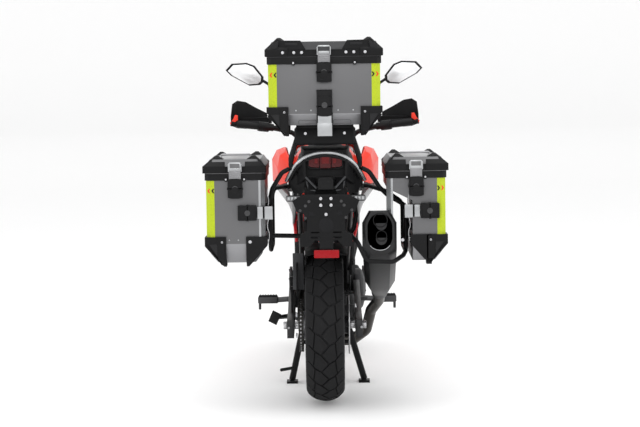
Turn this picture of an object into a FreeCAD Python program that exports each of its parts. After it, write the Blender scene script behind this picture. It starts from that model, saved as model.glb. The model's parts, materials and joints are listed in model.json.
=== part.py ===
"""Adventure motorcycle with a top case and two side cases, parked on its centre stand.

Millimetres.  +Y is the way it rides, +X the rider's right, +Z up, and the floor is z = 0.
Every piece is built about the rear axle's line (y = 0) and then moved by MIDDLE, which puts the
row's origin under the middle of the machine's length.
"""
import FreeCAD, Part
import math
import os
import re

import Sketcher
from FreeCAD import Placement, Rotation, Vector

SIZES = (
    # name, value, what it is
    ("wheelbase", 1445, "rear axle to front axle"),
    ("rake", 27.5, "steering axis, degrees back from upright"),
    ("trail", 108, "steering axis ahead of the front contact, at the floor"),
    ("stand_lift", 12, "rear tyre off the floor on the centre stand"),
    ("rear_tyre_radius", 312, "rear tyre over its tread"),
    ("rear_tyre_width", 157, "rear tyre across its widest"),
    ("rear_bead_radius", 216, "rear rim seat"),
    ("rear_rim_width", 126, "rear rim over its flanges"),
    ("front_tyre_radius", 329, "front tyre over its tread"),
    ("front_tyre_width", 112, "front tyre across its widest"),
    ("front_bead_radius", 241, "front rim seat"),
    ("front_rim_width", 82, "front rim over its flanges"),
    ("tyre_wall", 9, "tyre wall"),
    ("tread_wall", 15, "tyre under the tread"),
    ("bead_gap", 0.3, "between a tyre's bead and its seat"),
    ("rim_wall", 5, "rim wall"),
    ("rim_well", 20, "depth of the rim's well"),
    ("rim_flange", 13, "height of the rim's flange above the seat"),
    ("spoke_thick", 26, "cast spoke, along the axle"),
    ("spoke_width", 17, "cast spoke's leg"),
    ("spoke_count", 5, "forked spokes to a wheel"),
    ("hub_radius", 42, "wheel hub"),
    ("carrier_depth", 42, "cush drive's carrier, between the rear hub and the sprocket"),
    ("tooth_rise", 4, "sprocket teeth past the pitch circle"),
    ("axle_radius", 10, "both axles"),
    ("bearing_gap", 0.3, "between a wheel's bore and its axle or spacer"),
    ("front_disc_radius", 148, "front brake discs"),
    ("rear_disc_radius", 120, "rear brake disc"),
    ("disc_thick", 4.5, "brake discs"),
    ("disc_band", 34, "width of a disc's braking band"),
    ("disc_hole", 4, "radius of a disc's holes"),
    ("front_disc_offset", 66, "front disc's middle from the wheel's middle"),
    ("rear_disc_offset", 88, "rear disc's middle from the wheel's middle"),
    ("chain_offset", 108, "chain line, left of the middle"),
    ("sprocket_thick", 5.6, "sprocket plate"),
    ("sprocket_teeth", 41, "rear sprocket"),
    ("drive_teeth", 15, "engine sprocket"),
    ("chain_pitch", 15.875, "chain"),
    ("roller_radius", 5.08, "chain roller"),
    ("chain_height", 14, "chain link plates"),
    ("plate_thick", 1.9, "chain link plate"),
    ("fork_half", 104, "fork legs from the middle"),
    ("slider_radius", 20.5, "fork's inner tubes"),
    ("outer_radius", 27, "fork's outer tubes"),
    ("outer_start", 300, "outer tube's lower end, along the fork from the axle"),
    ("fork_sweep", 152, "room about the steering axis that the turning legs need, radius"),
    ("fork_top", 758, "outer tube's top, along the fork from the axle"),
    ("lower_yoke", 545, "lower yoke, along the fork from the axle"),
    ("upper_yoke", 722, "upper yoke, along the fork from the axle"),
    ("yoke_thick", 30, "fork yokes"),
    ("stem_radius", 15, "steering stem"),
    ("head_radius", 30, "frame's steering head"),
    ("pivot_y", 560, "swingarm pivot ahead of the rear axle"),
    ("pivot_z", 405, "swingarm pivot above the floor"),
    ("drive_ahead", 82, "engine sprocket ahead of the swingarm pivot"),
    ("drive_above", 8, "engine sprocket above the swingarm pivot"),
    ("chain_side_gap", 0.7, "between the sprocket and the chain's plates"),
    ("pivot_tube", 22, "swingarm pivot tube's radius"),
    ("plate_left", 119, "left frame plate's inner face, from the middle"),
    ("plate_right", 99, "right frame plate's inner face, from the middle"),
    ("nut_long", 16, "axle nuts stand out by"),
    ("nut_radius", 16, "axle nuts"),
    ("shock_top_y", 500, "shock's upper eye, ahead of the rear axle"),
    ("shock_top_z", 686, "shock's upper eye above the floor"),
    ("shock_foot_y", 480, "shock's lower eye, ahead of the rear axle"),
    ("shock_foot_z", 450, "shock's lower eye above the floor"),
    ("cylinder_lean", 16, "cylinders' forward lean, degrees"),
    ("header_radius", 20, "exhaust header pipes"),
    ("silencer_x", 222, "silencer's inlet, right of the middle"),
    ("silencer_rear", 280, "silencer's end, behind the rear axle"),
    ("silencer_z", 728, "silencer's end above the floor"),
    ("silencer_drop", 0.56, "silencer's fall for each millimetre forwards"),
    ("silencer_wide", 136, "silencer across"),
    ("silencer_deep", 194, "silencer's depth"),
    ("outlet_radius", 22, "silencer's two outlets"),
    ("screen_thick", 4, "windscreen"),
    ("tail_lamp_wide", 138, "tail lamp across"),
    ("bracket_rear", 330, "number-plate bracket, behind the rear axle"),
    ("bracket_thick", 5, "number-plate bracket"),
    ("lamp_back", 1234.4, "headlamp's back, ahead of the rear axle"),
    ("radiator_y", 1062, "radiator's back, ahead of the rear axle"),
    ("bar_half", 415, "handlebar's end, from the middle"),
    ("bar_radius", 11, "handlebar tube"),
    ("mirror_y", 1030, "mirrors, ahead of the rear axle"),
    ("right_rack_x", 318, "right rack's loop, from the middle"),
    ("arm_left", 137, "left arm's inner face, from the middle"),
    ("arm_right", 115, "right arm's inner face, from the middle"),
    ("arm_thick", 28, "swingarm's arms"),
    ("frame_tube", 15, "main frame's tubes, radius"),
    ("strut_tube", 11, "subframe's tubes, radius"),
    ("rack_tube", 9, "luggage rack's tubes, radius"),
    ("top_half", 215, "top case, half its width"),
    ("top_rear", 400, "top case's rear face, behind the rear axle"),
    ("latch_reach", 25, "latch's furthest reach behind a case's rear face"),
    ("top_depth", 385, "top case, rear to front"),
    ("top_floor", 1155, "top case's underside"),
    ("top_split", 1417, "top case's lid seam"),
    ("top_rise", 60, "top case lid's height"),
    ("case_wall", 4, "case walls"),
    ("lid_gap", 0.4, "seam between a case and its lid"),
    ("lid_lip", 5, "lid stands out past the body"),
    ("side_rear", 250, "side cases' rear face, behind the rear axle"),
    ("side_depth", 430, "side cases, rear to front"),
    ("side_inner", 241, "side cases' inner face, from the middle"),
    ("side_outer", 472, "side cases' outer face, from the middle"),
    ("side_floor", 609, "side cases' underside"),
    ("side_split", 965, "side cases' lid seam"),
    ("side_rise", 56, "side case lid's height"),
    ("notch_width", 100, "right case cut back for the silencer"),
    ("notch_top", 900, "top of that cut"),
    ("fold_inset", 40, "cases' walls fold in by this at the floor"),
    ("guard_out", 8, "corner guards stand out past a case"),
    ("guard_reach", 76, "corner guards' reach from a case's corner"),
    ("lid_peak", 14, "side lids' corner guards, above the lid"),
    ("band_height", 26, "black rim band under a case's seam"),
    ("hinge_radius", 5, "lid hinge knuckles"),
    ("hinge_rise", 3, "lid hinge above the seam"),
    ("hinge_out", 9, "lid hinge, ahead of the case"),
    ("hinge_half", 33, "lid hinge, half its width"),
    ("stand_pivot_y", 470, "centre stand's pivot, ahead of the rear axle"),
    ("stand_pivot_z", 300, "centre stand's pivot above the floor"),
    ("stand_foot_y", 492, "centre stand's feet, ahead of the rear axle"),
    ("stand_foot_x", 158, "centre stand's feet, from the middle"),
    ("side_stand_x", 150, "side stand's pivot, left of the middle"),
    ("side_stand_y", 742, "side stand's pivot, ahead of the rear axle"),
    ("side_stand_z", 262, "side stand's pivot above the floor"),
    ("side_foot_x", 232, "folded side stand's foot, left of the middle"),
    ("side_foot_y", 490, "folded side stand's foot, ahead of the rear axle"),
    ("side_foot_z", 288, "folded side stand's foot above the floor"),
    ("stand_shaft", 9, "centre stand's pivot shaft, radius"),
    ("stand_tube", 14, "centre stand's legs, radius"),
)

SIDE_STAND_AXIS = (0.86, -0.32, -0.39)

doc = FreeCAD.newDocument("AdventureMotorcycle")
sheet = doc.addObject("Spreadsheet::Sheet", "Sizes")
for row, (name, number, meaning) in enumerate(SIZES, start=1):
    sheet.set(f"A{row}", name)
    sheet.set(f"B{row}", str(number))
    sheet.setAlias(f"B{row}", name)
    sheet.set(f"C{row}", meaning)
doc.recompute()
NAMES = {name for name, number, meaning in SIZES}
MIDDLE = "(top_rear + latch_reach - wheelbase - front_tyre_radius) / 2"
REAR_Z = "(rear_tyre_radius + stand_lift)"


def bound(text):
    """An expression on the sheet's names, as FreeCAD writes it."""
    return re.sub(r"[a-z][a-z_]+", lambda word: "Sizes." * (word.group() in NAMES) + word.group(), text)


def size(text):
    """The number that an expression on the sheet's names stands for."""
    found = sheet.evalExpression(bound(str(text)))
    return float(getattr(found, "Value", found))


def bind(piece, **properties):
    """Ties a piece's sizes to the sheet."""
    for prop, text in properties.items():
        piece.setExpression(prop, bound(str(text)))
    return piece


def place(piece, x="0", y="0", z="0", turn=None):
    """Puts a piece at a place measured from the rear axle's line, middle and floor."""
    if turn is not None:
        piece.Placement = Placement(Vector(), turn)
    for letter, text in (("x", x), ("y", f"{MIDDLE} + {y}"), ("z", z)):
        piece.setExpression(f"Placement.Base.{letter}", bound(text))
    return piece


# ---------------------------------------------------------------- sketches and features

def pin_point(sketch, part, end, across, along):
    """Fixes a sketch point at two distances from the sketch's origin, tied to the sheet."""
    for kind, text in (("DistanceX", across), ("DistanceY", along)):
        number = sketch.addConstraint(Sketcher.Constraint(kind, -1, 1, part, end, size(text)))
        sketch.setExpression(f"Constraints[{number}]", bound(str(text)))


def arc_through(start, middle, end):
    """The counter-clockwise arc through three points, and whether start is its first end."""
    ax, ay = middle.x - start.x, middle.y - start.y
    bx, by = end.x - start.x, end.y - start.y
    cross = ax * by - ay * bx
    mid_square, end_square = ax * ax + ay * ay, bx * bx + by * by
    centre = Vector(start.x + (by * mid_square - ay * end_square) / (2 * cross),
                    start.y + (ax * end_square - bx * mid_square) / (2 * cross), 0)
    first, last = (start, end) if cross > 0 else (end, start)
    circle = Part.Circle(centre, Vector(0, 0, 1), (start - centre).Length)
    angles = [math.atan2(p.y - centre.y, p.x - centre.x) for p in (first, last)]
    return Part.ArcOfCircle(circle, angles[0], angles[1]), cross > 0


def outline(sketch, points):
    """Draws a closed outline.  A row (x, y) is a corner reached by a straight line, and a row
    (mid_x, mid_y, x, y) is one reached by an arc through a middle point."""
    corners = [Vector(size(p[-2]), size(p[-1]), 0) for p in points]
    ends = []
    for number, point in enumerate(points):
        start, end = corners[number - 1], corners[number]
        if len(point) == 2:
            part = sketch.addGeometry(Part.LineSegment(start, end))
            ends.append((part, 1, 2))
            continue
        middle = Vector(size(point[0]), size(point[1]), 0)
        arc, forward = arc_through(start, middle, end)
        part = sketch.addGeometry(arc)
        ends.append((part, 1, 2) if forward else (part, 2, 1))
        mark = sketch.addGeometry(Part.Point(middle), True)
        pin_point(sketch, mark, 1, point[0], point[1])
        sketch.addConstraint(Sketcher.Constraint("PointOnObject", mark, 1, part))
    for number, (part, first, last) in enumerate(ends):
        following, entry, _ = ends[(number + 1) % len(ends)]
        sketch.addConstraint(Sketcher.Constraint("Coincident", part, last, following, entry))
        pin_point(sketch, part, last, points[number][-2], points[number][-1])


def ring(sketch, radius, across="0", along="0"):
    """Draws a circle."""
    centre = Vector(size(across), size(along), 0)
    part = sketch.addGeometry(Part.Circle(centre, Vector(0, 0, 1), size(radius)))
    pin_point(sketch, part, 3, across, along)
    number = sketch.addConstraint(Sketcher.Constraint("Radius", part, size(radius)))
    sketch.setExpression(f"Constraints[{number}]", bound(str(radius)))


def new_body(label, x="0", y="0", z="0", turn=None):
    """A PartDesign body at its place."""
    body = doc.addObject("PartDesign::Body", label)
    body.Label = label
    return place(body, x, y, z, turn)


def new_sketch(body, plane, shift="0"):
    """A sketch on one of the body's own planes, moved along that plane's normal.
    XY looks down, XZ looks along +Y with its normal to the rear, YZ has its normal to +X."""
    sketch = body.newObject("Sketcher::SketchObject", f"{body.Label}_outline")
    base = next(part for part in body.Origin.OriginFeatures if part.Role == f"{plane}_Plane")
    sketch.AttachmentSupport = [(base, "")]
    sketch.MapMode = "FlatFace"
    sketch.setExpression("AttachmentOffset.Base.z", bound(str(shift)))
    return sketch


def pad(body, sketch, length, symmetric=True):
    """Adds a sketch's outline, as thick as length."""
    feature = body.newObject("PartDesign::Pad", f"{body.Label}_pad")
    feature.Profile = sketch
    feature.SideType = "Symmetric" if symmetric else "One side"
    return bind(feature, Length=length)


def pocket(body, sketch, length):
    """Cuts a sketch's outline, evenly to both sides of its plane."""
    feature = body.newObject("PartDesign::Pocket", f"{body.Label}_cut")
    feature.Profile = sketch
    feature.SideType = "Symmetric"
    return bind(feature, Length=length)


def revolve(body, sketch, axis, angle="360", symmetric=False):
    """Turns a sketch's outline about the sketch's own H_Axis or V_Axis."""
    feature = body.newObject("PartDesign::Revolution", f"{body.Label}_turn")
    feature.Profile = sketch
    feature.ReferenceAxis = (sketch, [axis])
    feature.Midplane = symmetric
    return bind(feature, Angle=angle)


def repeat(body, features, axis, count, angle="360"):
    """Copies features round one of the body's own axes."""
    pattern = body.newObject("PartDesign::PolarPattern", f"{body.Label}_round")
    pattern.Originals = features
    pattern.Axis = (next(part for part in body.Origin.OriginFeatures if part.Role == axis), [""])
    pattern.Angle = float(angle)
    bind(pattern, Occurrences=count)
    body.Tip = pattern
    return pattern


def mirror(body, features, plane="YZ_Plane"):
    """Copies features to the other side."""
    pattern = body.newObject("PartDesign::Mirrored", f"{body.Label}_mirror")
    pattern.Originals = features
    pattern.MirrorPlane = (next(part for part in body.Origin.OriginFeatures if part.Role == plane), [""])
    body.Tip = pattern
    return pattern


# ---------------------------------------------------------------- wheels, brakes, final drive

def tyre(label, radius, width, bead, rim, y, z):
    """A tyre: crown, shoulders and side walls, open at its beads."""
    body = new_body(label, "0", y, z)
    sketch = new_sketch(body, "XY")
    seat = f"({rim} / 2 - rim_wall - 1)"
    waist = f"({bead} + ({radius} - {bead}) * 0.5)"
    shoulder = f"({radius} - {width} * 0.17)"
    edge = f"({width} * 0.47)"
    inner_edge = f"({edge} - tyre_wall)"
    inner_top = f"({radius} - tread_wall)"
    toe = f"({bead} + bead_gap)"
    heel = f"({bead} + rim_flange + 3)"
    outline(sketch, (
        (f"-{seat}", toe),
        (f"-{seat}", heel),
        (f"-{width} / 2", waist, f"-{edge}", shoulder),
        ("0", radius, edge, shoulder),
        (f"{width} / 2", waist, seat, heel),
        (seat, toe),
        (f"{seat} - tyre_wall", toe),
        (f"{seat} - tyre_wall", heel),
        (f"{width} / 2 - tyre_wall", waist, inner_edge, f"{shoulder} - tyre_wall"),
        ("0", inner_top, f"-{inner_edge}", f"{shoulder} - tyre_wall"),
        (f"-({width} / 2 - tyre_wall)", waist, f"-({seat} - tyre_wall)", heel),
        (f"-({seat} - tyre_wall)", toe),
    ))
    revolve(body, sketch, "H_Axis")
    return body


def cast_wheel(label, bead, rim, hub_left, hub_right, y, z):
    """A cast wheel: hub, forked spokes and a well-shaped rim."""
    body = new_body(label, "0", y, z)
    hub = new_sketch(body, "XY")
    outline(hub, (
        (f"-{hub_left}", "axle_radius + bearing_gap"),
        (f"-{hub_left}", "hub_radius * 0.85"),
        ("-spoke_thick / 2", "hub_radius"),
        ("spoke_thick / 2", "hub_radius"),
        (hub_right, "hub_radius * 0.85"),
        (hub_right, "axle_radius + bearing_gap"),
    ))
    revolve(body, hub, "H_Axis")
    spoke = new_sketch(body, "YZ")
    seat = f"({bead} - rim_well)"
    fork = f"(hub_radius + ({seat} - hub_radius) * 0.38)"
    spread = f"({seat} * 0.27)"
    outline(spoke, (
        ("-spoke_width", "hub_radius - 6"),
        ("-spoke_width * 0.75", fork),
        (f"-{spread} - spoke_width / 2", f"{seat} * 0.965"),
        (f"-{spread} + spoke_width / 2", f"{seat} * 0.99"),
        ("0", f"{fork} + spoke_width * 1.6"),
        (f"{spread} - spoke_width / 2", f"{seat} * 0.99"),
        (f"{spread} + spoke_width / 2", f"{seat} * 0.965"),
        ("spoke_width * 0.75", fork),
        ("spoke_width", "hub_radius - 6"),
    ))
    arm = pad(body, spoke, "spoke_thick")
    repeat(body, [arm], "X_Axis", "spoke_count")
    barrel = new_sketch(body, "XY")
    half = f"({rim} / 2)"
    flange = f"({bead} + rim_flange)"
    outline(barrel, (
        (f"-{half}", f"{bead} - rim_wall"),
        (f"-{half}", flange),
        (f"-{half} + rim_wall", flange),
        (f"-{half} + rim_wall", bead),
        (f"-{half} * 0.6", bead),
        (f"-{half} * 0.42", f"{bead} - rim_well + rim_wall"),
        (f"{half} * 0.42", f"{bead} - rim_well + rim_wall"),
        (f"{half} * 0.6", bead),
        (f"{half} - rim_wall", bead),
        (f"{half} - rim_wall", flange),
        (half, flange),
        (half, f"{bead} - rim_wall"),
        (f"{half} * 0.62", f"{bead} - rim_wall"),
        (f"{half} * 0.46", f"{bead} - rim_well - 2"),
        (f"-{half} * 0.46", f"{bead} - rim_well - 2"),
        (f"-{half} * 0.62", f"{bead} - rim_wall"),
    ))
    revolve(body, barrel, "H_Axis")
    return body


def brake_disc(body, radius, middle, carrier_radius):
    """A floating disc: a drilled band, and a five-armed carrier bolted to the hub."""
    band = new_sketch(body, "YZ", middle)
    ring(band, radius)
    ring(band, f"{radius} - disc_band")
    pad(body, band, "disc_thick")
    hole = new_sketch(body, "YZ", middle)
    ring(hole, "disc_hole", f"{radius} - disc_band * 0.3", "0")
    ring(hole, "disc_hole", f"({radius} - disc_band * 0.7) * cos(8)", f"({radius} - disc_band * 0.7) * sin(8)")
    cut = pocket(body, hole, "disc_thick * 3")
    repeat(body, [cut], "X_Axis", "14")
    arm = new_sketch(body, "YZ", middle)
    outline(arm, (
        ("-14", carrier_radius),
        ("-9", f"{radius} - disc_band + 5"),
        ("9", f"{radius} - disc_band + 5"),
        ("14", carrier_radius),
    ))
    web = pad(body, arm, "disc_thick")
    repeat(body, [web], "X_Axis", "6")
    carrier = new_sketch(body, "YZ", middle)
    ring(carrier, f"{carrier_radius} + 6")
    ring(carrier, f"{carrier_radius} - 9")
    pad(body, carrier, "disc_thick")


def pair(label, one):
    """A piece and its mirror image on the other side, as one sub-part of two solids."""
    other = doc.addObject("Part::Mirroring", f"{label}_other")
    other.Source = one
    other.Normal = Vector(1, 0, 0)
    both = doc.addObject("Part::Compound", label)
    both.Links = [one, other]
    return both


rear_tyre = tyre("rear_tyre", "rear_tyre_radius", "rear_tyre_width", "rear_bead_radius", "rear_rim_width",
                 "0", REAR_Z)
front_tyre = tyre("front_tyre", "front_tyre_radius", "front_tyre_width", "front_bead_radius",
                  "front_rim_width", "wheelbase", "front_tyre_radius")
rear_rim = cast_wheel("rear_rim", "rear_bead_radius", "rear_rim_width",
                      "(chain_offset - sprocket_thick / 2 - carrier_depth)",
                      "(rear_disc_offset - disc_thick / 2)", "0", REAR_Z)
front_rim = cast_wheel("front_rim", "front_bead_radius", "front_rim_width",
                       "(front_disc_offset - disc_thick / 2)", "(front_disc_offset - disc_thick / 2)",
                       "wheelbase", "front_tyre_radius")

front_disc = new_body("front_disc", "0", "wheelbase", "front_tyre_radius")
brake_disc(front_disc, "front_disc_radius", "front_disc_offset", "hub_radius")
front_discs = pair("front_discs", front_disc)
rear_disc = new_body("rear_disc", "0", "0", REAR_Z)
brake_disc(rear_disc, "rear_disc_radius", "rear_disc_offset", "hub_radius")

# The sprocket's plate stands on the cush drive's carrier, which seats on the hub's left end.
pitch_radius = "(chain_pitch / 2 / sin(180 / sprocket_teeth))"
rear_sprocket = new_body("rear_sprocket", "0", "0", REAR_Z)
disc = new_sketch(rear_sprocket, "YZ", "-chain_offset")
ring(disc, f"{pitch_radius} + tooth_rise")
ring(disc, "hub_radius * 0.8")
pad(rear_sprocket, disc, "sprocket_thick")
gap = new_sketch(rear_sprocket, "YZ", "-chain_offset")
ring(gap, "roller_radius", pitch_radius, "0")
tooth_gap = pocket(rear_sprocket, gap, "sprocket_thick * 3")
repeat(rear_sprocket, [tooth_gap], "X_Axis", "sprocket_teeth")
window = new_sketch(rear_sprocket, "YZ", "-chain_offset")
ring(window, "hub_radius * 0.27", "hub_radius * 1.85", "0")
lightening = pocket(rear_sprocket, window, "sprocket_thick * 3")
repeat(rear_sprocket, [lightening], "X_Axis", "6")
carrier = new_sketch(rear_sprocket, "XY")
outline(carrier, (
    ("-chain_offset + sprocket_thick / 2 + carrier_depth", "hub_radius * 0.75"),
    ("-chain_offset + sprocket_thick / 2 + carrier_depth", "hub_radius * 1.45"),
    ("-chain_offset + sprocket_thick / 2 + carrier_depth * 0.3", "hub_radius * 1.45"),
    ("-chain_offset + sprocket_thick / 2", "hub_radius * 1.2"),
    ("-chain_offset + sprocket_thick / 2", "hub_radius * 0.75"),
))
revolve(rear_sprocket, carrier, "H_Axis")


# ---------------------------------------------------------------- shapes made with Part's functions

s = {name: size(name) for name in NAMES}
middle = size(MIDDLE)
rear_z = size(REAR_Z)
RIGHT = Vector(1, 0, 0)
AHEAD = Vector(0, 1, 0)
UP = Vector(0, 0, 1)


def shaped(label, shape, y="0", z="0", turn=None):
    """A sub-part whose shape comes from Part's functions, at its place."""
    feature = doc.addObject("Part::Feature", label)
    feature.Label = label
    feature.Shape = shape
    return place(feature, "0", y, z, turn)


def join(*pieces):
    """One solid of pieces that meet."""
    return pieces[0].multiFuse(list(pieces[1:])).removeSplitter()


def block(x0, x1, y0, y1, z0, z1):
    """A box between its faces."""
    return Part.makeBox(x1 - x0, y1 - y0, z1 - z0, Vector(x0, y0, z0))


def rod(start, end, radius):
    """A round bar from start to end."""
    start, end = Vector(*start), Vector(*end)
    return Part.makeCylinder(radius, (end - start).Length, start, end - start)


def ball(centre, radius):
    """A sphere, which rounds a joint of bars."""
    return Part.makeSphere(radius, Vector(*centre))


def strut_chain(points, radius):
    """Straight bars end to end, rounded where they meet."""
    bars = [rod(a, b, radius) for a, b in zip(points, points[1:])]
    knees = [ball(point, radius) for point in points[1:-1]]
    return bars + knees


def bent_tube(points, radius, bend):
    """A round tube along straight runs joined by tangent arcs."""
    points = [Vector(*point) for point in points]
    edges = []
    last = points[0]
    for before, corner, after in zip(points, points[1:], points[2:]):
        back, ahead = (before - corner), (after - corner)
        room = 0.48 * min(back.Length, ahead.Length)
        back.normalize()
        ahead.normalize()
        half_turn = (math.pi - back.getAngle(ahead)) / 2
        reach = min(bend * math.tan(half_turn), room)
        arc_radius = reach / math.tan(half_turn)
        inward = (back + ahead).normalize()
        start, end = corner + back * reach, corner + ahead * reach
        middle_point = corner + inward * (arc_radius / math.cos(half_turn) - arc_radius)
        edges.append(Part.LineSegment(last, start).toShape())
        edges.append(Part.Arc(start, middle_point, end).toShape())
        last = end
    edges.append(Part.LineSegment(last, points[-1]).toShape())
    path = Part.Wire(edges)
    ring_edge = Part.makeCircle(radius, points[0], points[1] - points[0])
    return path.makePipeShell([Part.Wire([ring_edge])], True, True)


def plate(points, across, thick):
    """A flat plate: an outline of (y, z) corners, from x = across, as thick as thick."""
    corners = [Vector(across, y, z) for y, z in points]
    return Part.Face(Part.makePolygon(corners + corners[:1])).extrude(Vector(thick, 0, 0))


def rear_plate(points, y, thick):
    """A flat plate: an outline of (x, z) corners, from y, thick towards the front."""
    corners = [Vector(x, y, z) for x, z in points]
    return Part.Face(Part.makePolygon(corners + corners[:1])).extrude(Vector(0, thick, 0))


def loft(sections, ruled=True):
    """A solid through closed outlines of the same number of corners."""
    wires = [Part.makePolygon([Vector(*p) for p in points] + [Vector(*points[0])]) for points in sections]
    return Part.makeLoft(wires, True, ruled)


def mirrored(shape):
    """The shape on the other side."""
    return shape.mirror(Vector(0, 0, 0), RIGHT)


def both_sides(shape):
    """A shape and its mirror image, which don't touch."""
    return Part.makeCompound([shape, mirrored(shape)])


# ---------------------------------------------------------------- axles, chain, swingarm, shock

pivot = (s["pivot_y"], s["pivot_z"])
pitch_rear = s["chain_pitch"] / 2 / math.sin(math.pi / s["sprocket_teeth"])
pitch_drive = s["chain_pitch"] / 2 / math.sin(math.pi / s["drive_teeth"])
drive_y = pivot[0] + s["drive_ahead"]
drive_z = pivot[1] + s["drive_above"]
arm_left_out = s["arm_left"] + s["arm_thick"]
arm_right_out = s["arm_right"] + s["arm_thick"]


def chain_loop(offset, x0, x1):
    """The solid inside the chain's path, moved out from the pitch line by offset, from x0 to x1."""
    rear, drive = Vector(0, 0, rear_z), Vector(0, drive_y, drive_z)
    big, small = pitch_rear + offset, pitch_drive + offset
    line = drive - rear
    lean = math.atan2(line.z, line.y)
    swing = math.acos((big - small) / line.Length)

    def at(centre, radius, angle):
        return centre + Vector(0, math.cos(angle), math.sin(angle)) * radius

    top, bottom = lean + swing, lean - swing
    edges = [
        Part.LineSegment(at(rear, big, top), at(drive, small, top)).toShape(),
        Part.Arc(at(drive, small, top), at(drive, small, lean), at(drive, small, bottom)).toShape(),
        Part.LineSegment(at(drive, small, bottom), at(rear, big, bottom)).toShape(),
        Part.Arc(at(rear, big, bottom), at(rear, big, lean + math.pi), at(rear, big, top)).toShape(),
    ]
    solid = Part.Face(Part.Wire(edges)).extrude(Vector(x1 - x0, 0, 0))
    solid.translate(Vector(x0, 0, 0))
    return solid


def drive_chain():
    """The chain: two rows of link plates and the rollers' backs, open inwards for the teeth."""
    half = s["sprocket_thick"] / 2 + s["chain_side_gap"]
    outer = half + s["plate_thick"]
    line = -s["chain_offset"]
    reach = s["chain_height"] / 2
    whole = chain_loop(reach, line - outer, line + outer).cut(chain_loop(-reach, line - outer, line + outer))
    channel = chain_loop(s["roller_radius"], line - half, line + half)
    return whole.cut(channel)


shaped("drive_chain", drive_chain())

axle_end = arm_left_out + s["nut_long"]
axle_far = arm_right_out + s["nut_long"]
rear_axle = rod((-axle_end, 0, rear_z), (axle_far, 0, rear_z), s["axle_radius"])
spacer_left = rod((-s["arm_left"] + 0.2, 0, rear_z), (-s["chain_offset"] - s["sprocket_thick"] / 2 - 0.6, 0, rear_z),
                  s["axle_radius"] + 6)
spacer_right = rod((s["rear_disc_offset"] + s["disc_thick"] / 2 + 0.6, 0, rear_z),
                   (s["arm_right"] - 0.2, 0, rear_z), s["axle_radius"] + 6)
nut_left = rod((-axle_end, 0, rear_z), (-arm_left_out - 0.3, 0, rear_z), s["nut_radius"])
nut_right = rod((arm_right_out + 0.3, 0, rear_z), (axle_far, 0, rear_z), s["nut_radius"])
shaped("rear_axle", join(rear_axle, spacer_left, spacer_right, nut_left, nut_right))


def swingarm():
    """Two deep arms on a pivot tube, tied by a box ahead of the tyre, with the rear caliper."""
    py, pz = pivot
    profile = (
        (py + 34, pz + 12), (py + 10, pz + 36), (py - 130, pz + 22), (140, rear_z + 40),
        (60, rear_z + 34), (-66, rear_z + 30), (-74, rear_z - 20), (-66, rear_z - 44),
        (60, rear_z - 40), (200, rear_z - 22), (py - 60, pz - 46), (py + 10, pz - 36), (py + 34, pz - 14),
    )
    left = plate(profile, -arm_left_out, s["arm_thick"])
    right = plate(profile, s["arm_right"], s["arm_thick"])
    tube = rod((-arm_left_out, py, pz), (arm_right_out, py, pz), s["pivot_tube"])
    beam_y = s["rear_tyre_radius"] + 70
    beam_z = rear_z + (pz - rear_z) * beam_y / py
    beam = block(-s["arm_left"] - 1, s["arm_right"] + 1, beam_y, beam_y + 62, beam_z - 34, beam_z + 30)
    lugs = [plate(((430, 400), (430, 441), (470, 466), (500, 462), (502, 438), (470, 416)), x, 12)
            for x in (-30, 18)]
    lugs.append(rod((-30, s["shock_foot_y"], s["shock_foot_z"]), (30, s["shock_foot_y"], s["shock_foot_z"]), 6))
    axle_hole = rod((-axle_end - 9, 0, rear_z), (axle_far + 9, 0, rear_z), s["axle_radius"] + 0.2)
    return join(left, right, tube, beam, *lugs).cut(axle_hole)


shaped("swingarm", swingarm())


def disc_caliper(y, z, radius, disc_x, out_x, angle, width):
    """A two-part caliper over a disc, with a bracket out to out_x.  Angle is round the axle."""
    half = s["disc_thick"] / 2 + 2.5
    body = block(disc_x - 24, disc_x + 24, radius - 44, radius + 18, -width / 2, width / 2)
    slot = block(disc_x - half, disc_x + half, radius - 60, radius + 3, -width, width)
    ear = block(disc_x + half + 4, out_x, radius - 30, radius + 6, -width / 2 + 8, width / 2 - 8)
    body = body.cut(slot)
    for shape in (body, ear):
        shape.rotate(Vector(), RIGHT, angle)
        shape.translate(Vector(0, y, z))
    return join(body, ear)


shaped("rear_caliper", disc_caliper(0, rear_z, s["rear_disc_radius"], s["rear_disc_offset"],
                                    s["arm_right"] - 0.3, 38, 78))


def revolved(profile, foot, line):
    """A solid of revolution: a profile of (radius, along) corners about a line from foot."""
    corners = [Vector(radius, 0, along) for radius, along in profile]
    solid = Part.Face(Part.makePolygon(corners + corners[:1])).revolve(Vector(), UP, 360)
    solid.Placement = Placement(Vector(*foot), Rotation(UP, Vector(*line)))
    return solid


def rear_shock():
    """The rear shock: damper, rod and a coil spring of stacked turns."""
    top = Vector(0, s["shock_top_y"], s["shock_top_z"])
    foot = Vector(0, s["shock_foot_y"], s["shock_foot_z"])
    line = (top - foot).normalize()
    length = (top - foot).Length
    turns, low, high = 7, 0.16, 0.84
    step = length * (high - low) / turns
    profile = [(0, 4), (9, 4), (9, length * low - 8), (36, length * low - 8), (36, length * low)]
    for turn in range(turns):
        start = length * low + step * turn
        profile += [(27, start + step * 0.1), (35, start + step * 0.35), (35, start + step * 0.65),
                    (27, start + step * 0.9)]
    profile += [(36, length * high), (36, length * high + 8), (20, length * high + 8), (20, length - 4),
                (0, length - 4)]
    eye_top = rod((-16, top.y, top.z), (16, top.y, top.z), 16)
    eye_foot = rod((-16, foot.y, foot.z), (16, foot.y, foot.z), 16)
    bolts = [rod((-40, eye.y, eye.z), (40, eye.y, eye.z), 6.3) for eye in (top, foot)]
    return join(revolved(profile, foot, line), eye_top, eye_foot).cut(Part.makeCompound(bolts))


shaped("rear_shock", rear_shock())


# ---------------------------------------------------------------- main frame and subframe

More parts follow.
